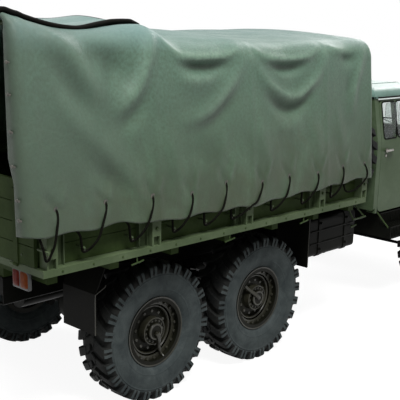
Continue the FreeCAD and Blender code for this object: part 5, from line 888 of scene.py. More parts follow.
# how far the shoulders stand above the plain line, along the truck
RISE = np.array([(-3.53, 0.195), (-3.42, 0.158), (-3.317, 0.130), (-3.2, 0.110), (-3.114, 0.103),
                 (-2.971, 0.101), (-2.857, 0.106), (-2.678, 0.114), (-2.50, 0.122), (-2.372, 0.118),
                 (-2.27, 0.088), (-2.15, 0.024), (-2.05, 0.026), (-1.75, 0.036), (-1.45, 0.026),
                 (-1.28, -0.002), (-1.10, 0.010), (-0.75, 0.022), (-0.45, 0.016), (-0.32, 0.006),
                 (-0.15, 0.026), (0.15, 0.036), (0.33, 0.022), (0.45, -0.030)])


def along(x, table):
    """A value along the truck: linear between the table's rows, averaged over 0.12 m, so that it has no
    corner."""
    near = np.linspace(-0.06, 0.06, 5)
    return np.mean([np.interp(x + shift, table[:, 0], table[:, 1]) for shift in near], axis=0)


# how much wider and taller the folds are than written, and the points along each
WIDER, TALLER, FOLD_POINTS = 1.16, 1.95, 22
# heights over which the folds of the side fade out, and over which the slack of the roof sets in
FOLDS_FADE, ROOF_BEGINS = (2.72, 2.84), (2.70, 2.82)
# slack between two hoops on the roof and on the side, and the stretch over a hoop
ROOF_SLACK, SIDE_SLACK, HOOP_RIDGE = 0.020, 0.005, 0.0045


def spaced(points, count):
    """Count points at even distances along a chain whose corners are first cut twice."""
    line = rounded(points, 2)
    reach = np.concatenate([[0], np.cumsum(np.hypot(*np.diff(line, axis=0).T))])
    at = np.linspace(0, reach[-1], count)
    places = [np.interp(at, reach, line[:, column]) for column in (0, 1)]
    return np.stack(places, -1), reach[-1] / (count - 1)


def stroke(x, z, points, tall, soft):
    """Height of a fold along a chain: the sum of weight times exp(-(distance / softness)^2) over points
    spaced along it, divided by what an endless straight chain would give. The weight falls towards both
    ends."""
    line, gap = spaced(points, FOLD_POINTS)
    from_end = np.minimum(np.arange(FOLD_POINTS), np.arange(FOLD_POINTS)[::-1])
    weight = np.clip((from_end + 1.5) / 8, 0, 1)
    distance = (x[..., None] - line[:, 0]) ** 2 + (z[..., None] - line[:, 1]) ** 2
    return tall * (weight * np.exp(-distance / soft ** 2)).sum(-1) * gap / (soft * math.sqrt(math.pi))


def side_folds(x, z):
    """All folds at (x, z), with a pucker at each grommet and a slow wave."""
    out = sum(stroke(x, z, points, tall, WIDER * soft) for points, tall, soft in STROKES)
    for number, (grommet_x, grommet_z) in enumerate(GROMMETS):
        a, b = x - grommet_x, z - grommet_z
        turn = 0.15 * math.sin(2.4 * number)
        c, s = math.cos(turn), math.sin(turn)
        a, b = a * c + b * s, b * c - a * s
        # the dimple, then a ridge ahead of it, a hollow behind it and a ridge below it
        for tall, across, up in ((-0.0045, a / 0.026, b / 0.026),
                                 (0.0055, (a - 0.055 - 0.35 * (b - 0.08)) / 0.018, (b - 0.085) / 0.065),
                                 (-0.0060, (a + 0.050 + 0.5 * (b - 0.05)) / 0.030, (b - 0.055) / 0.060),
                                 (0.0030, (a + 0.01 - 0.1 * b) / 0.020, (b + 0.08) / 0.05)):
            out = out + tall * np.exp(-across ** 2 - up ** 2)
    slow = 0.0022 * np.sin(5.1 * x + 2.3 * z) * np.sin(3.7 * z - 1.9 * x + 0.6)
    return out + slow + 0.0010 * np.sin(17 * x + 6 * z) * np.sin(9 * z)


def in_bay(x, t):
    """How far a place is through its bay, 0 to 1, and where its folds are read: on the left side the same
    folds are turned end for end inside each bay."""
    bow = np.array(BOW_X)
    bay = np.clip(np.searchsorted(bow, x) - 1, 0, len(bow) - 2)
    first, last = bow[bay], bow[bay + 1]
    return np.clip((x - first) / (last - first), 0, 1), np.where(t < ROUND / 2, x, first + last - x)


def over_hoops(x, soft):
    """1 at each hoop, falling as exp(-(distance / softness)^2)."""
    return np.exp(-((x[..., None] - np.array(BOW_X)) / soft) ** 2).sum(-1)


def canvas_at(x, t, inward=0.0):
    """Point of the sheet at a place x along the truck and t metres round from the right hem: the hoop
    line, raised by the rise along the truck, lowered to the hem line near the hem, and moved along the
    line's normal by the folds, by the slack between two hoops, and by the stretch over each hoop."""
    x, t = np.broadcast_arrays(np.asarray(x, float), np.asarray(t, float))
    y, z = np.interp(t, HOOP_T, HOOP[:, 0]), np.interp(t, HOOP_T, HOOP[:, 1])
    out_y, out_z = np.interp(t, HOOP_T, HOOP_OUT[:, 0]), np.interp(t, HOOP_T, HOOP_OUT[:, 1])
    within, fold_x = in_bay(x, t)
    on_side = 1 - smooth_step(z, *FOLDS_FADE)
    rear_fade = smooth_step(x, REAR_X - 0.01, REAR_X + 0.16)
    slack = np.sin(np.pi * within) ** 2
    roof = smooth_step(z, *ROOF_BEGINS)
    out = TALLER * side_folds(fold_x, z) * on_side * (0.25 + 0.75 * rear_fade)
    out = out + HOOP_RIDGE * over_hoops(x, 0.028) - slack * (ROOF_SLACK * roof + SIDE_SLACK * on_side)
    out = out - 0.006 * roof * slack * np.sin(9 * y + 4 * x) ** 2 - inward
    # near the rear the middle of the roof rises less than the shoulders
    flat_top = 1 - 0.75 * np.clip(1 - (y / 1.04) ** 2, 0, 1) * smooth_step(-x, 2.15, 2.6)
    rise = along(x, RISE) * smooth_step(z, 2.25, 2.80) * flat_top
    hem = (along(x, HEM_LINE) - HEM_Z) * (1 - smooth_step(z, HEM_Z, HEM_Z + 0.38))
    hem = hem + 0.010 * (1 - smooth_step(z, HEM_Z, HEM_Z + 0.12)) * np.sin(np.pi * (x + 3.27) / 0.205)
    return np.stack([x, y + out_y * out, z + out_z * out + rise + hem], -1)


print("folds:", len(STROKES))

# %% [markdown]
# The rear edge turns in as a lip round the open end, narrow beside the tailgate so that it can swing.
# The front is closed by a wall, which gathers to one point at the middle of its lower edge.

# %% Canvas cover
SIDE_T, SHOULDER_T = 1.09, 1.42
LIP_X, WALL_X = REAR_X + 0.004, FRONT_X - 0.002
FRONT_RADIUS = 0.055
half_t = np.concatenate([np.linspace(0, SIDE_T, 84), np.linspace(SIDE_T, SHOULDER_T, 17)[1:],
                         np.linspace(SHOULDER_T, ROUND / 2, 15)[1:]])
rows_t = np.concatenate([half_t, (ROUND - half_t[:-1])[::-1]])
rows_z = np.interp(rows_t, HOOP_T, HOOP[:, 1])
rows_y = abs(np.interp(rows_t, HOOP_T, HOOP[:, 0]))
open_y = np.interp(rows_z, [1.585, 1.96, 2.12, 2.6], [1.172, 1.166, 1.112, 1.105])
high_lip = np.interp(rows_z, [2.6, 2.74, 2.80, 2.83], [0.100, 0.085, 0.03, 0.016])
lip_depth = np.where(rows_z < 2.6, rows_y - open_y, high_lip)
corner_radius = np.minimum(0.075, lip_depth * 0.8)
radius = corner_radius[:, None]
lip_share = np.linspace(1, 0, 6)[None, :-1]
rear_angle = np.linspace(np.pi / 2, 0, 8)[None, :-1]
front_angle = np.linspace(0, np.pi / 2, 7)[None, 1:]
start_x = LIP_X + radius
body = start_x + (WALL_X - FRONT_RADIUS - start_x) * np.linspace(0, 1, 186)[None, :]
# columns from the lip's inner edge to the front corner: where each is along the truck, and how far in
all_x = np.concatenate([LIP_X + 0 * radius * lip_share, LIP_X + radius * (1 - np.sin(rear_angle)), body,
                        WALL_X - FRONT_RADIUS * (1 - np.sin(front_angle)) + 0 * radius], 1)
all_in = np.concatenate([radius + (lip_depth[:, None] - radius) * lip_share, radius * (1 - np.cos(rear_angle)),
                         0 * body, FRONT_RADIUS * (1 - np.cos(front_angle)) + 0 * radius], 1)
canvas_points = canvas_at(all_x, rows_t[:, None] + 0 * all_x, all_in)
pole = np.array([WALL_X, 0.0, canvas_points[0, -1, 2]])
gather = np.linspace(0, 1, 10)[1:-1][None, :, None]
wall = canvas_points[:, -1:] * (1 - gather) + pole * gather
waving = np.sin(11 * wall[..., 1] + 3 * wall[..., 2]) * np.sin(7 * wall[..., 2]) - 1
wall[..., 0] += 0.006 * waving * np.sin(np.pi * gather[..., 0])
sheet_points = np.concatenate([canvas_points, wall], 1)
canvas_form = grid(sheet_points)
last_column = np.arange(len(rows_t)) * sheet_points.shape[1] + sheet_points.shape[1] - 1
fan = np.stack([last_column[:-1], last_column[1:], np.full(len(rows_t) - 1, len(canvas_form[0]))], -1)
canvas_form = (np.concatenate([canvas_form[0], [pole]]), canvas_form[1] + fan.tolist())
lengthways = np.linalg.norm(np.diff(sheet_points, axis=1), axis=-1)
from_rear = np.concatenate([np.zeros((len(rows_t), 1)), np.cumsum(lengthways, 1)], 1)
cut = np.stack([from_rear, np.broadcast_to(rows_t[:, None], from_rear.shape)], -1).reshape(-1, 2)
cut = np.concatenate([cut, [[from_rear.max(), ROUND / 2]]])
print("canvas:", sheet_points.shape[:2], "points")


def sheet_area(points):
    """Area of a grid of points: half the cross product of each quad's diagonals."""
    one = points[1:, 1:] - points[:-1, :-1]
    two = points[1:, :-1] - points[:-1, 1:]
    return float(np.linalg.norm(np.cross(one, two), axis=-1).sum() / 2)


def rubbed_and_lit_places(x, t):
    """0 to 1, half on flat cloth: the sheet's folds less their own average over 0.1 m, so that ridges come
    out high, where the cloth is painted pale as rubbed and lit, and hollows low, where it is painted dark as
    dirty and shaded. A band along the shoulder is a painted highlight."""
    z = np.interp(t, HOOP_T, HOOP[:, 1])
    fold_x = in_bay(x, t)[1]
    shifts = [(0.07, 0.0), (-0.07, 0.0), (0.0, 0.07), (0.0, -0.07), (0.05, 0.05), (-0.05, -0.05),
              (0.05, -0.05), (-0.05, 0.05)]
    middle = sum(side_folds(fold_x + a, z + b) for a, b in shifts) / len(shifts)
    over_hoop = over_hoops(x, 0.035) * smooth_step(z, 2.35, 2.75)
    # a pale band along the shoulder: a painted highlight
    shoulder = np.exp(-((z - 2.735) / 0.055) ** 2) * (0.6 + 0.4 * np.sin(7.3 * x + 1.0) * np.sin(3.1 * x))
    folded = (side_folds(fold_x, z) - middle) * (1 - smooth_step(z, 2.74, 2.84))
    return np.clip(0.5 + 24 * folded + 0.10 * over_hoop + 0.16 * shoulder, 0, 1)


def cloth(made, thick, sewn, worn=0.5):
    """Gives a piece its UV map in metres and its wear and painted light, point by point, and its thickness,
    inwards.
    """
    mesh = made.data
    wear = mesh.attributes.new("worn", "FLOAT", "POINT")
    wear.data.foreach_set("value", np.broadcast_to(worn, (len(mesh.vertices),)).astype(np.float32))
    corner = np.empty(len(mesh.loops), np.int32)
    mesh.loops.foreach_get("vertex_index", corner)
    layer = mesh.uv_layers.new(name="metres")
    layer.data.foreach_set("uv", np.asarray(sewn, np.float32)[corner].ravel())
    wall_maker = made.modifiers.new("cloth thickness", "SOLIDIFY")
    wall_maker.thickness, wall_maker.offset = thick, -1
    return made


bows = []
for x in BOW_X:
    over_t = np.linspace(SIDE_T, ROUND - SIDE_T, 41)
    over = canvas_at(np.full(41, x), over_t, 0.0235)
    foot = np.array([(x, -1.163, 1.941), (x, -1.163, 2.2), (x, -1.164, 2.45)])
    bows.append(swept(np.concatenate([foot, over, foot[::-1] * [1, -1, 1]]), 0.0165, 10))
hoops = piece("canopy_hoops", joined(*bows), bed_paint, "chassis", "bed_paint", 40, stands_for=["canopy_bows"])
# wear and painted light on the cover; 0.5, none, on the front wall and its point
worn_x = np.concatenate([all_x, np.full((len(rows_t), wall.shape[1]), FRONT_X)], 1)
cover_wear_and_light = rubbed_and_lit_places(worn_x, rows_t[:, None] + 0 * worn_x)
cover_wear_and_light[:, all_x.shape[1]:] = 0.5
cover_wear_and_light = np.append(cover_wear_and_light.ravel(), 0.5)
cover = cloth(piece("canvas_sheet", canvas_form, canvas_cloth, "chassis", "canvas", 180,
                    stands_for=["canvas_cover"]), 0.004, cut, cover_wear_and_light)
print("canvas area: %.1f square metres" % sheet_area(sheet_points))

# %% [markdown]
# ## The rear curtain, thrown back on the roof
# The rear opening has its own curtain. On the road it is often folded up over the roof, where it lies
# in slack waves. It follows the cover beneath it at a small height, so the two never cross.

# %% Rear curtain
# half the flap's width, the height its folds stay below, and where its rear edge lies
FLAP_HALF, FLAP_TOP, FLAP_FROM = 0.985, 3.016, REAR_X + 0.002
flap_x = np.linspace(0, 1, 60)[:, None]
flap_across = np.linspace(-1, 1, 61)[None, :]
# its front edge reaches further on the right side and is cut back on the left
tip_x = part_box("rear_curtain")[1][0] + 0.03 - 0.03 * np.cos(5 * flap_across)
tip_x = tip_x + 0.11 * smooth_step(-flap_across, 0.2, 1.0) - 0.34 * abs(flap_across) ** 1.5 * (flap_across > 0)
flap_place = FLAP_FROM + (tip_x - FLAP_FROM) * flap_x
narrowed = 1 + np.where(flap_across < 0, 0.075 - 0.12 * smooth_step(flap_x, 0.30, 0.80), -0.10 * flap_x)
flap_t = ROUND / 2 + flap_across * FLAP_HALF * narrowed + 0.018 * np.sin(7 * flap_x)
under_flap = canvas_at(flap_place, flap_t)
# how far it stands above the cover, along the truck, and the waves on top of that
edge_height = np.interp(flap_x, [0, 0.2, 0.38, 0.5, 0.62, 0.78, 0.9, 1.0],
                        [0.026, 0.022, 0.017, 0.018, 0.030, 0.036, 0.03, 0.022])
waves = 0.010 * np.sin(2.7 * np.pi * flap_x + 2.1 * flap_across) + 0.006 * np.sin(9 * flap_across + 5 * flap_x)
waves = np.clip(waves, -0.006, 0.02) * (1 - abs(flap_across) ** 6) * smooth_step(flap_x, 0, 0.2)
flap_high = edge_height + waves
flap_top = under_flap + np.stack([0 * flap_high, 0 * flap_high, np.maximum(flap_high, 0.014)], -1)
flap_top[..., 2] = np.minimum(flap_top[..., 2], FLAP_TOP)
flap = cloth(piece("rear_curtain_folded", grid(flap_top), canvas_cloth, "chassis", "canvas", 180,
                   stands_for=["rear_curtain"]), 0.010,
             np.stack([flap_place, flap_t], -1).reshape(-1, 2))
# near-black rods along the curtain's edges: partly a binding, partly painted shade under the rolled edge
edges = [swept(flap_top[:, 0] - [0, 0.017, 0.008], np.linspace(0.0185, 0.016, len(flap_top)), 8),
         swept(flap_top[:, -1] + [0, 0.010, -0.012], 0.0165, 8),
         swept(flap_top[-1] + [0.008, 0, -0.010], 0.013, 8)]
piece("rear_curtain_hem", joined(*edges), flap_rubber, "chassis", "rubber", 60)
print("curtain area: %.2f" % sheet_area(flap_top))

# %% [markdown]
# ## Grommets, toggles and the lashing rope
# One rope runs the whole hem: out through a grommet, down to a hook on the side, up behind the hem and
# out of the next grommet. Each pass is a NURBS line whose control points are those places, so it has
# no corner. The rope is held all the way, so it is not a loose cord.

# %% Lashing rope, grommets and toggles
def height_t(z):
    """Metres round from the right hem at which the plain side line reaches the height z."""
    return np.interp(z, half_hoop[:26, 1], HOOP_T[:26])


def on_side(x, z, out=0.0):
    """Point of the right side at height z, that far outside the cloth."""
    return canvas_at(np.float64(x), height_t(z), -out)


# the hooks along the side: the first stands on the rear post, further out than the rest
HOOKS = tuple((x, -1.236 if x > -3.2 else -1.262)
              for x in (-3.354, -3.034, -2.604, -2.186, -1.851, -1.545, -1.051, -0.635, -0.207))
grommet_row = ((-3.470, 1.765),) + GROMMETS
lines = []
for number, (hook_x, hook_y) in enumerate(HOOKS):
    front_x, front_z = grommet_row[number + 1]
    back_x, back_z = grommet_row[number]
    down = on_side(front_x, front_z, 0.008)
    hem = on_side(front_x + (hook_x - front_x) * 0.30, 1.615, 0.010)
    span = front_x - hook_x
    lines.append([on_side(front_x, front_z, -0.014), down, (down + hem) / 2 + [0.010, 0, 0], hem,
                  (front_x - span * 0.46, -1.296, 1.540), (front_x - span * 0.70, -1.276, 1.482),
                  (hook_x + min(0.045, span * 0.20), hook_y - 0.004, 1.446),
                  (hook_x - 0.012, hook_y - 0.002, 1.436), (hook_x - 0.030, hook_y - 0.018, 1.50),
                  (hook_x - 0.055, -1.273, 1.59), (0.35 * hook_x + 0.65 * back_x - 0.02, -1.268, 1.68),
                  on_side(back_x + 0.01, back_z - 0.01, -0.018)])
front_x, front_z = GROMMETS[-1]
lines.append([on_side(front_x, front_z, -0.014), on_side(front_x, front_z, 0.008),
              on_side(front_x + 0.03, 1.62, 0.01), (front_x - 0.02, -1.292, 1.535),
              (front_x - 0.12, -1.27, 1.47),
              (front_x - 0.25, -1.26, 1.46), (front_x - 0.30, -1.262, 1.53), (front_x - 0.32, -1.27, 1.63),
              on_side(-0.08, 1.71, -0.018)])


def rope_curve(name, runs, radius, finish):
    """A curve of one NURBS spline per run on each side, with a round bevel."""
    made = bpy.data.curves.new(name, "CURVE")
    made.dimensions, made.bevel_depth, made.bevel_resolution, made.resolution_u = "3D", radius, 3, 5
    made.use_fill_caps = True
    for side in (1, -1):
        for run in runs:
            spline = made.splines.new("NURBS")
            spline.points.add(len(run) - 1)
            four = np.concatenate([np.array(run) * [1, side, 1], np.ones((len(run), 1))], 1)
            spline.points.foreach_set("co", four.ravel())
            spline.order_u, spline.use_endpoint_u = 3, True
    made.materials.append(finish)
    rope = bpy.data.objects.new(name, made)
    bpy.context.scene.collection.objects.link(rope)
    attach(rope, "chassis")
    return rope


rope = rope_curve("lashing_rope", lines, 0.0085, rope_fibre)
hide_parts("lashing_ropes")


def both_sides(form):
    """The form and its mirror image across the truck's middle plane."""
    return joined(form, moved(form, flip=1))


eyelet = turned([(0.010, -0.002), (0.012, 0.003), (0.018, 0.004), (0.023, 0.0015), (0.023, -0.002)], "Y",
                sides=20, ring=True)
hook_ring = turned([(0.0115, -0.003), (0.0135, -0.0045), (0.0165, 0), (0.0135, 0.0045), (0.0115, 0.003)], "Y",
                   sides=16, ring=True)
parts = [moved(eyelet, on_side(x, z, 0.002)) for x, z in GROMMETS]
parts += [moved(hook_ring, (x, y, 1.462)) for x, y in HOOKS]
piece("grommets_and_hook_rings", both_sides(joined(*parts)), dull_steel, "chassis", "steel", 40)
# toggles that close the curtain's edge, on the rear lip
toggle = joined(chamfered((-0.006, -0.030, -0.007), (0.002, 0.024, 0.007), 0.004),
                chamfered((-0.009, -0.008, -0.012), (0.0, 0.008, 0.012), 0.003))
toggle_places = ((-1.148, 2.70), (-1.150, 2.506), (-1.160, 2.278), (-1.175, 2.065), (-1.212, 1.855),
                 (-1.225, 1.73))
toggles = several(toggle, [(REAR_X - 0.003, y, z) for y, z in toggle_places])
piece("lip_toggles", both_sides(toggles), dull_steel, "chassis", "steel", 40)
print("rope passes:", 2 * len(lines), "grommets:", 2 * len(GROMMETS))

# %% [markdown]
# ## Fittings of the cargo body and chassis
# Bolts show where posts and straps are fixed, and lamps, steps and handles break up the dark lower
# line. They sit on the CAD faces: where a face slopes, a ray sent at the node finds its place.

# %% Place things on a CAD face
def face_finder(node):
    """A function that sends a ray from a start in a direction at a node's mesh, and gives the point it
    meets."""
    mesh = frame["nodes"][node].data
    corners = np.empty(len(mesh.vertices) * 3)
    mesh.vertices.foreach_get("co", corners)
    tree = BVHTree.FromPolygons(corners.reshape(-1, 3).tolist(),
                                [tuple(face.vertices) for face in mesh.polygons])

    def find(start, way):
        """The point that the ray meets; an array without a length where it meets nothing."""
        return np.array(tree.ray_cast(Vector(start), Vector(way))[0])
    return find


def studs(places, axis, radius, way=1):
    """Low domed heads, eight-sided, 5 mm tall."""
    one = turned([(radius, 0), (radius * 0.92, 0.003), (radius * 0.5, 0.005)], sides=8)
    if way < 0:
        one = moved(one, flip=2)
    return several(moved(one, turn=AXES[axis]), places)


POST_X = (-3.301, -2.372, -1.340, -0.350, 0.312)
BOARD_Y, POST_Y = -1.170, -1.250
post_bolts = [(x, POST_Y, z) for x in POST_X for z in (1.50, 1.90)]
board_studs = [(x + shift, BOARD_Y, z) for x in POST_X for shift in (-0.105, 0.105)
               for z in (1.445, 1.585, 1.725, 1.865) if -3.33 < x + shift < 0.345]
rail_bolts = [(x, POST_Y, 1.345) for x in np.arange(-3.22, 0.33, 0.262)]
fixings = joined(bolts(post_bolts, "Y", 0.010, 0.010, -1), studs(board_studs, "Y", 0.011, -1),
                 studs(rail_bolts, "Y", 0.010, -1))
piece("body_side_bolts", both_sides(fixings), bed_paint, "chassis", "bed_paint", 30)
gate_studs = [(-3.3965, y, z) for y in (-1.0441, -0.06, 0.06, 1.0441) for z in (1.45, 1.58, 1.72, 1.86)]
piece("tailgate_bolts", studs(gate_studs, "X", 0.011, -1), bed_paint, "tailgate", "bed_paint", 30)
print("bolts on the body:", 2 * (len(post_bolts) + len(board_studs) + len(rail_bolts)))

# %% [markdown]
# A rear lamp is one housing with two moulded lenses, red inside and amber outside. Under the side
# rail hang the latch handles, and behind the cab a rod step and a stay for the running board.

# %% Rear lamps, handles, rod step and stays
lamp_low, lamp_high = (np.array(corner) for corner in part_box("tail_lamps"))
outer, back, lamp_top = lamp_high[1], lamp_low[0], lamp_high[2] - 0.002
LAMP_BOTTOM = 1.188


def rear_lamp(inner_y, outer_y, deep):
    """A lens that bulges: on a grid over the face, its depth is deep times (1 - u^4)(1 - v^4)."""
    u, v = np.meshgrid(np.linspace(-1, 1, 15), np.linspace(-1, 1, 13))
    y = (inner_y + outer_y) / 2 + (outer_y - inner_y) / 2 * u
    z = (LAMP_BOTTOM + lamp_top) / 2 + (lamp_top - LAMP_BOTTOM) / 2 * v * 0.93
    x = back + 0.012 - deep * (1 - u ** 4) * (1 - v ** 4)
    front = np.stack([x, y, z], -1)
    rear = np.stack([np.full_like(x, back + 0.018), y, z], -1)
    return grid(np.concatenate([rear[:1], front, rear[-1:]]))


housing = chamfered((back + 0.010, -outer, LAMP_BOTTOM - 0.006), (lamp_high[0], 0.184 - outer, lamp_top), 0.006)
piece("rear_lamp_housings", both_sides(housing), dark_plastic, "chassis", "lamp", 30, bevel=0.003,
      stands_for=["tail_lamps"])
for name, lens, inner_y, outer_y in (("red", red_lens, 0.098, 0.180), ("amber", amber_lens, 0.004, 0.094)):
    piece("rear_lamp_" + name, both_sides(rear_lamp(inner_y - outer, outer_y - outer, 0.011)), lens, "chassis",
          "lamp", 50)

rods = []
for x in (-2.555, -1.570, -0.600):
    rods.append(swept([(x, -1.238, 1.322), (x, -1.240, 1.285), (x + 0.004, -1.246, 1.276)], 0.006, 8))
    rods.append(swept([(x - 0.058, -1.246, 1.266), (x - 0.02, -1.248, 1.273), (x + 0.02, -1.248, 1.277),
                       (x + 0.058, -1.246, 1.284)], 0.0062, 8))
rods.append(swept([(0.40, -1.066, 1.055), (0.40, -1.098, 1.050)], 0.006, 8))
rods.append(swept([(0.355, -1.100, 1.042), (0.40, -1.102, 1.050), (0.445, -1.100, 1.058)], 0.0065, 8))
for start, end in (((0.245, -1.10, 1.322), (0.350, -1.128, 1.128)),
                   ((0.475, -1.03, 1.290), (0.545, -1.122, 1.128))):
    bent = rounded([start, (start[0] + 0.02, start[1], start[2] - 0.05), end], 2)
    rods.append(swept(bent, 0.0075, 8))
rods.append(swept([(0.336, -1.130, 1.130), (0.44, -1.132, 1.130), (0.560, -1.124, 1.130)], 0.0085, 8))
rods.append(swept([(0.245, -1.10, 1.300), (0.36, -1.07, 1.296), (0.478, -1.03, 1.290)], 0.0075, 8))
rods.append(swept([(1.010, -0.975, 1.079), (1.050, -1.030, 0.990), (1.108, -1.104, 0.874)], 0.0085, 8))
piece("body_side_rods", both_sides(joined(*rods)), bed_paint, "chassis", "bed_paint", 50)

rear_edge = ((-2.704, 1.095), (-2.712, 1.080), (-2.800, 1.040), (-2.8035, 1.0), (-2.8035, 0.73))
front_edge = ((-0.271, 1.31), (-0.271, 0.755))
stays = joined(*[swept([(x, -1.0665, z) for x, z in edge], 0.0042, 6) for edge in (rear_edge, front_edge)])
piece("mudflap_stays", both_sides(stays), bolt_paint_with_highlight, "chassis", "chassis_paint", 50)
print("lamps, handles and step done")

# %% [markdown]
# ## Fuel tanks
# The tanks are pressed sheet with stiffening beads, held by straps with tension bolts. Dark paint
# hides them under the body, so the beads only show by their highlights.

# %% Tank beads, cap and strap bolts
side_bead = ((-0.230, -1.060), (-0.200, -1.064), (0.425, -1.064), (0.455, -1.060))
end_bead = ((0.475, -1.02), (0.478, -1.0), (0.478, -0.56), (0.475, -0.54))
beads = [swept([(x, y, z) for x, y in line], 0.0085, 8, flat=0.8) for line in (side_bead, end_bead)
         for z in (0.960, 1.080)]
cap = turned([(0.045, 0), (0.052, 0.004), (0.052, 0.022), (0.046, 0.028), (0.020, 0.030)], "Z",
             (0.20, -0.78, 1.205), 24)
strap_bolts = bolts([(x, -1.070, z) for x in (-0.095, 0.320) for z in (0.90, 1.15)], "Y", 0.010, 0.014, -1)
piece("fuel_tank_fittings", both_sides(joined(*beads, cap, strap_bolts)), chassis_paint, "chassis",
      "chassis_paint", 50)

# frame: over each rear axle a plate on the rail, with the bolts that hold it, and a rubber stop below it
doublers = []
for x in (-2.135, -0.885):
    low_x, high_x = (x - 0.40, x + 0.16) if x > -1.5 else (x - 0.16, x + 0.40)
    doublers.append(chamfered((low_x, 0.385, 0.805), (high_x, 0.430, 0.884), 0.004))
    doublers.append(bolts([(low_x + 0.03 + 0.100 * n, 0.431, 0.848) for n in range(6)], "Y", 0.009, 0.011))
    doublers.append(chamfered((x - 0.05, 0.388, 0.765), (x + 0.05, 0.427, 0.808), 0.010))
piece("frame_rail_doublers", both_sides(joined(*doublers)), chassis_paint, "chassis", "chassis_paint", 30)

# springs: bands round the leaves, and the bolts that clamp them
bands = []
find = face_finder("leaf_springs")
for x in (1.95, 2.20, 2.73, 2.95, -2.05, -1.72, -1.30, -0.98):
    across = [(y, find((x, y, 1.2), (0, 0, -1)), find((x, y, 0.2), (0, 0, 1)))
              for y in np.arange(-0.53, -0.38, 0.005)]
    across = [(y, top[2], bottom[2]) for y, top, bottom in across if top.ndim and bottom.ndim]
    if across:
        y, top, bottom = np.array(across).T
        bands.append(chamfered((x - 0.018, y.min() - 0.008, bottom.min() - 0.005),
                               (x + 0.018, y.max() + 0.008, top.max() + 0.005), 0.004))
piece("spring_bands", both_sides(joined(*bands)), chassis_paint, "chassis", "chassis_paint", 30)
print("tanks and springs done")

# %% [markdown]
# ## Cab
# The cab is pressed steel, so its edges are rolled and its roof has swaged ribs and a drip rail. The
# glass sits in rubber. Each rib is a thin ridge carried along a path on the CAD roof.

# %% Roof ribs and drip rail
roof_at = face_finder("cab_roof")


def over_roof(places, lift=0.0):
    """Points on the roof above each (x, y), that much higher."""
    return np.array([roof_at((x, y, 3.0), (0, 0, -1)) + [0, 0, lift] for x, y in places])


ribs = []
for y in (-0.62, -0.31, 0.0, 0.31, 0.62):
    path = over_roof([(x, y) for x in np.linspace(1.06, 1.90, 22)], -0.003)
    ribs.append(swept(path, np.r_[0.004, np.full(20, 0.013), 0.004], 10, flat=0.6))
piece("roof_ribs", joined(*ribs), roof_paint_with_sky_reflection, "chassis", "cab_paint", 60)
half_rail = [(2.055, -0.900, 2.252), (1.40, -0.931, 2.252), (0.93, -0.931, 2.252), (0.886, -0.87, 2.252)]
rail = rounded(half_rail + [(0.886, 0.0, 2.252)] + [(x, -y, z) for x, y, z in half_rail[::-1]], 2)
piece("roof_drip_rail", swept(rail, 0.0085, 8), flap_rubber, "chassis", "rubber", 60)
print("roof done")

# %% [markdown]
# Window rubber is a round cord pressed round each pane, on the leaning plane of the cab side. The
# door has a bright handle, and a mirror on a rod at its front edge.

# %% Window rubber, handles, mirrors
def power(value, share):
    """The value raised to a power, with its sign kept."""
    return np.sign(value) * abs(value) ** share


def lean_y(z):
    """Outer face of the cab side at height z: upright to the belt, then leaning inwards."""
    return -0.985 + np.clip((z - 1.80) / 0.445, 0, 1) * 0.080


def pane_line(x0, x1, z0, z1, corner):
    """Closed line round a pane: at each corner P a quadratic curve from P - in * corner to
    P + out * corner."""
    square = np.array([(x0, z0), (x1, z0), (x1, z1), (x0, z1)], float)
    out = np.roll(square, -1, 0) - square
    out /= np.linalg.norm(out, axis=1, keepdims=True)
    first, last = square - np.roll(out, 1, 0) * corner, square + out * corner
    t = np.linspace(0, 1, 7)[None, :, None]
    arcs = (1 - t) ** 2 * first[:, None] + 2 * t * (1 - t) * square[:, None] + t ** 2 * last[:, None]
    return arcs.reshape(-1, 2)


def side_rubber(x0, x1, z0, z1, corner):
    """The cord round one pane of the right side, on the leaning face."""
    line = pane_line(x0, x1, z0, z1, corner)
    path = np.stack([line[:, 0], lean_y(line[:, 1]) - 0.001, line[:, 1]], -1)
    return swept(path, 0.0075, 6, loop=True)


seals = joined(*[side_rubber(x0, x1, 1.836, 2.204, corner)
                 for x0, x1, corner in ((1.036, 1.271, 0.034), (1.289, 1.914, 0.049))])
bar = rounded([(1.030, -1.012, 1.722), (1.052, -1.026, 1.722), (1.10, -1.028, 1.722),
               (1.152, -1.020, 1.720), (1.160, -1.008, 1.719)], 2)
boss = turned([(0.021, 0), (0.021, 0.012), (0.016, 0.020)], "Y", (1.052, -1.0165, 1.722), 20)
grip = joined(swept(bar, 0.0125, 10), boss)
lock = turned([(0.013, -0.006), (0.013, 0.0), (0.009, 0.003)], "Y", (1.075, -0.9855, 1.665), 16)
arm = rounded([(1.955, -0.950, 1.990), (1.975, -1.060, 1.995), (1.985, -1.150, 2.0),
               (1.985, -1.200, 2.06)], 2)
u, v = np.meshgrid(np.linspace(0, 2 * np.pi, 40, endpoint=False), np.linspace(0, 1, 7))
size = 1 - 0.25 * v ** 3
shell = np.stack([1.985 + 0.030 * v, -1.205 + 0.075 * size * power(np.cos(u), 0.45),
                  2.085 + 0.115 * size * power(np.sin(u), 0.45)], -1)
mirror = joined(grid(shell, loop_columns=True, close_ends=True), swept(arm, 0.0085, 8))
forms = {"window_rubber_": (seals, flap_rubber, "rubber"),
         "door_handle_": (joined(grip, lock), bright_steel, "steel"),
         "door_mirror_": (mirror, dark_plastic, "lamp")}
for side_name in ("right", "left"):
    for name, (form, finish, slot_name) in forms.items():
        form = form if side_name == "right" else moved(form, flip=1)
        piece(name + side_name, form, finish, "door_" + side_name, slot_name, 60)
print("door fittings done")

# %% [markdown]
# The windscreen is two flat panes, each with a wiper that rests along the lower edge.

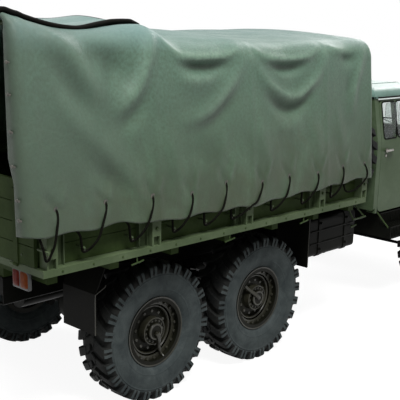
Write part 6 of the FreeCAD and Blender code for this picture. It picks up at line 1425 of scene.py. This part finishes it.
# %% Wipers, front lamps and grille bolts
screen_at = face_finder("cab_front_frame")
wipers = []
for side in (-1, 1):
    low = screen_at((3.0, side * 0.45, 1.838), (-1, 0, 0))
    high = screen_at((3.0, side * 0.42, 2.215), (-1, 0, 0))
    slope = (high[0] - low[0]) / (high[2] - low[2])

    def on_screen(*places):
        """Points on the leaning screen for (distance from the middle, height, distance out) each."""
        return [(low[0] + slope * (z - low[2]) + out, side * y, z) for y, z, out in places]
    wipers.append(turned([(0.014, -0.004), (0.014, 0.014), (0.008, 0.020)], "X",
                         on_screen((0.45, 1.835, 0))[0], 16))
    wipers.append(swept(on_screen((0.45, 1.838, 0.018), (0.32, 1.880, 0.022), (0.22, 1.915, 0.016)), 0.0045, 6))
    wipers.append(swept(on_screen((0.44, 1.925, 0.010), (0.22, 1.915, 0.011), (0.06, 1.905, 0.010)), 0.006, 6,
                        flat=1.4))
piece("wipers", joined(*wipers), dark_plastic, "chassis", "lamp", 60)

LAMP_Y, LAMP_Z = 0.840, 1.085
lens_dome = [(0.088, 0.0), (0.086, 0.010), (0.070, 0.019), (0.045, 0.026), (0.020, 0.0295)]
bezel = [(0.084, 0.004), (0.088, 0.014), (0.096, 0.017), (0.105, 0.012), (0.1065, 0.0), (0.1065, -0.02),
         (0.090, -0.02)]
lamp_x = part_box("headlamps")[1][0]
domes = joined(*[turned(lens_dome, "X", (lamp_x - 0.016, y, LAMP_Z), 40) for y in (-LAMP_Y, LAMP_Y)])
rings = joined(*[turned(bezel, "X", (lamp_x - 0.004, y, LAMP_Z), 40, ring=True) for y in (-LAMP_Y, LAMP_Y)])
piece("headlamp_lenses", domes, lamp_glass, "chassis", "lamp", 60)
piece("headlamp_bezels", rings, cab_paint, "chassis", "cab_paint", 40)
wing_at = face_finder("front_fenders")
markers, bases = [], []
for side in (-1, 1):
    spot = wing_at((3.02, side * 1.08, 2.0), (0, 0, -1))
    bases.append(turned([(0.040, -0.004), (0.040, 0.012), (0.034, 0.016)], "Z", spot, 24))
    markers.append(turned([(0.032, 0.014), (0.032, 0.034), (0.026, 0.046), (0.012, 0.052)], "Z", spot, 24))
piece("side_lamp_bases", joined(*bases), dark_plastic, "chassis", "lamp", 50)
piece("side_lamp_lenses", joined(*markers), amber_lens, "chassis", "lamp", 60)
bumper_at = face_finder("front_bumper")
bumper_bolts = [bumper_at((4.0, y, z), (-1, 0, 0)) for y in (-0.46, -0.40, 0.40, 0.46) for z in (0.70, 0.80)]
piece("bumper_bolts", bolts(bumper_bolts, "X", 0.014, 0.009), dull_steel, "chassis", "steel", 30)
grille_at = face_finder("grille_panel")
grille_studs = [grille_at((4.0, y, z), (-1, 0, 0)) for y in (-0.535, 0.535) for z in (1.14, 1.28, 1.42, 1.56)]
piece("grille_studs", studs(grille_studs, "X", 0.009), cab_paint, "chassis", "cab_paint", 30)
wing_bolts = [wing_at((x, side * 1.175, 2.0), (0, 0, -1)) for side in (-1, 1)
              for x in (2.12, 2.30, 2.48, 2.66, 2.84)]
piece("wing_bolts", studs(wing_bolts, "Z", 0.009), cab_paint, "chassis", "cab_paint", 30)
hood_at = face_finder("hood")
catches = several(chamfered((-0.016, -0.010, -0.045), (0.016, 0.012, 0.030), 0.004),
                  [hood_at((x, side * 2, 1.655), (0, -side, 0)) for side in (-1, 1) for x in (2.55, 3.15)])
piece("bonnet_catches", catches, dull_steel, "hood", "steel", 30, bevel=0.002)
print("front fittings done")

# %% [markdown]
# ## Running boards
# Raised strips stop a boot from slipping. They are one thin ridge, repeated.

# %% Running board strips
tread_strip = (((-0.990, 0.9315), (-1.0, 0.934), (-1.09, 0.934), (-1.100, 0.9315)), 0.0055)
kick_strip = (((-0.9775, 0.945), (-0.979, 0.96), (-0.979, 1.03), (-0.9775, 1.045)), 0.005)
skirt_strip = (((-1.1105, 0.815), (-1.113, 0.83), (-1.113, 0.905), (-1.1105, 0.92)), 0.005)
step_x = np.arange(1.105, 1.765, 0.030)
strips = [several(swept([(0, y, z) for y, z in line], radius, 6), [(x, 0, 0) for x in step_x])
          for line, radius in (tread_strip, kick_strip, skirt_strip)]
piece("running_board_strips", both_sides(joined(*strips)), chassis_paint, "chassis", "chassis_paint", 40)
print("strips:", 6 * len(step_x))

# %% [markdown]
# ## Seats
# A bench for two and the driver's seat, in leathercloth over foam. A cushion is a rounded box whose
# sides pull in between its corners, crowned on top, with sewn channels across it and a piped seam.

# %% Cushions
# the powers of a cushion's outline up and along, the points round it, and how far its sides pull in
ROUND_FLAT, ROUND_PLAN, ROUND_SIDES, PINCH = 0.30, 0.26, 96, 0.010


def rounded_box(half_x, half_y, half_z):
    """Superellipsoid: x = a c(p, m) c(q, n), y = b c(p, m) s(q, n), z = h s(p, m), where c and s are the
    cosine and sine raised to a power below 1 with their sign kept; both poles are single points."""
    p = np.linspace(-np.pi / 2, np.pi / 2, 33)[1:-1, None]
    q = np.linspace(0, 2 * np.pi, ROUND_SIDES, endpoint=False)[None, :]
    ring = power(np.cos(p), ROUND_FLAT)
    return np.stack([half_x * ring * power(np.cos(q), ROUND_PLAN), half_y * ring * power(np.sin(q), ROUND_PLAN),
                     half_z * power(np.sin(p), ROUND_FLAT) + 0 * q], -1)


def cushion(middle, half, crown, channels, turn=None):
    """Rounded box with a crown of (1 - u^2)(1 - v^2), sides pulled in by (1 - u^2) between corners, and
    channels sunk across it. Its poles are closed with fans. Gives the box and the piping round its edge."""
    points = rounded_box(*half)
    u, v = points[..., 0] / half[0], points[..., 1] / half[1]
    upper = smooth_step(points[..., 2] / half[2], 0.1, 0.9)
    bulge = np.clip((1 - u ** 2) * (1 - v ** 2), 0, 1)
    groove = np.exp(-(np.sin(np.pi * channels * (v + 1) / 2) / 0.16) ** 2)
    groove = groove * np.clip(1 - u ** 2, 0, 1) ** 0.3 * (abs(v) < 0.93)
    points[..., 2] += upper * (crown * bulge ** 0.7 - 0.010 * groove)
    level = 1 - (points[..., 2] / half[2]) ** 2
    points[..., 0] -= np.sign(u) * PINCH * (1 - v ** 2) * abs(u) ** 4 * np.clip(level, 0, 1)
    points[..., 1] -= np.sign(v) * PINCH * (1 - u ** 2) * abs(v) ** 4 * np.clip(level, 0, 1)
    flat_points, faces = grid(points, loop_columns=True)
    poles = [(0, 0, points[row, :, 2].mean()) for row in (0, -1)]
    number, start = np.arange(ROUND_SIDES), len(flat_points)
    follow, last_ring = np.roll(number, -1), start - ROUND_SIDES
    faces = faces + np.stack([follow, number, 0 * number + start], -1).tolist()
    faces = faces + np.stack([number + last_ring, follow + last_ring, 0 * number + start + 1], -1).tolist()
    body = (np.concatenate([flat_points, poles]), faces)
    angle = np.linspace(0, 2 * np.pi, ROUND_SIDES, endpoint=False)
    edge = np.stack([half[0] * 0.985 * power(np.cos(angle), ROUND_PLAN),
                     half[1] * 0.985 * power(np.sin(angle), ROUND_PLAN), 0 * angle + half[2] * 0.66], -1)
    for one, other in ((0, 1), (1, 0)):
        pulled = 0.55 * PINCH * (1 - (edge[:, other] / half[other]) ** 2)
        edge[:, one] -= np.sign(edge[:, one]) * pulled * abs(edge[:, one] / half[one]) ** 4
    return moved(body, middle, turn), moved(swept(edge, 0.0045, 6, loop=True), middle, turn)


BACKREST_LEAN = turn_about(1, math.radians(83))
cushions, pipes = [], []
for name, y0, y1, channels in (("bench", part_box("cab_seats")[0][1], -0.060, 8), ("driver", 0.200, 0.740, 5)):
    wide = (y1 - y0) / 2 - 0.004
    middle_y = (y0 + y1) / 2
    seat, seat_pipe = cushion((1.252, middle_y, 1.408), (0.283, wide, 0.062), 0.016, channels)
    back, back_pipe = cushion((1.030, middle_y, 1.748), (0.262, wide, 0.050), 0.014, channels,
                              BACKREST_LEAN)
    for part, form in (("cushion", seat), ("backrest", back)):
        cushions.append(piece(name + "_seat_" + part, form, seat_cover, "chassis", "seat", 180))
    pipes += [seat_pipe, back_pipe]
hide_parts("cab_seats")
piece("seat_piping", joined(*pipes), dark_plastic, "chassis", "seat", 60)
print("cushions:", len(cushions))
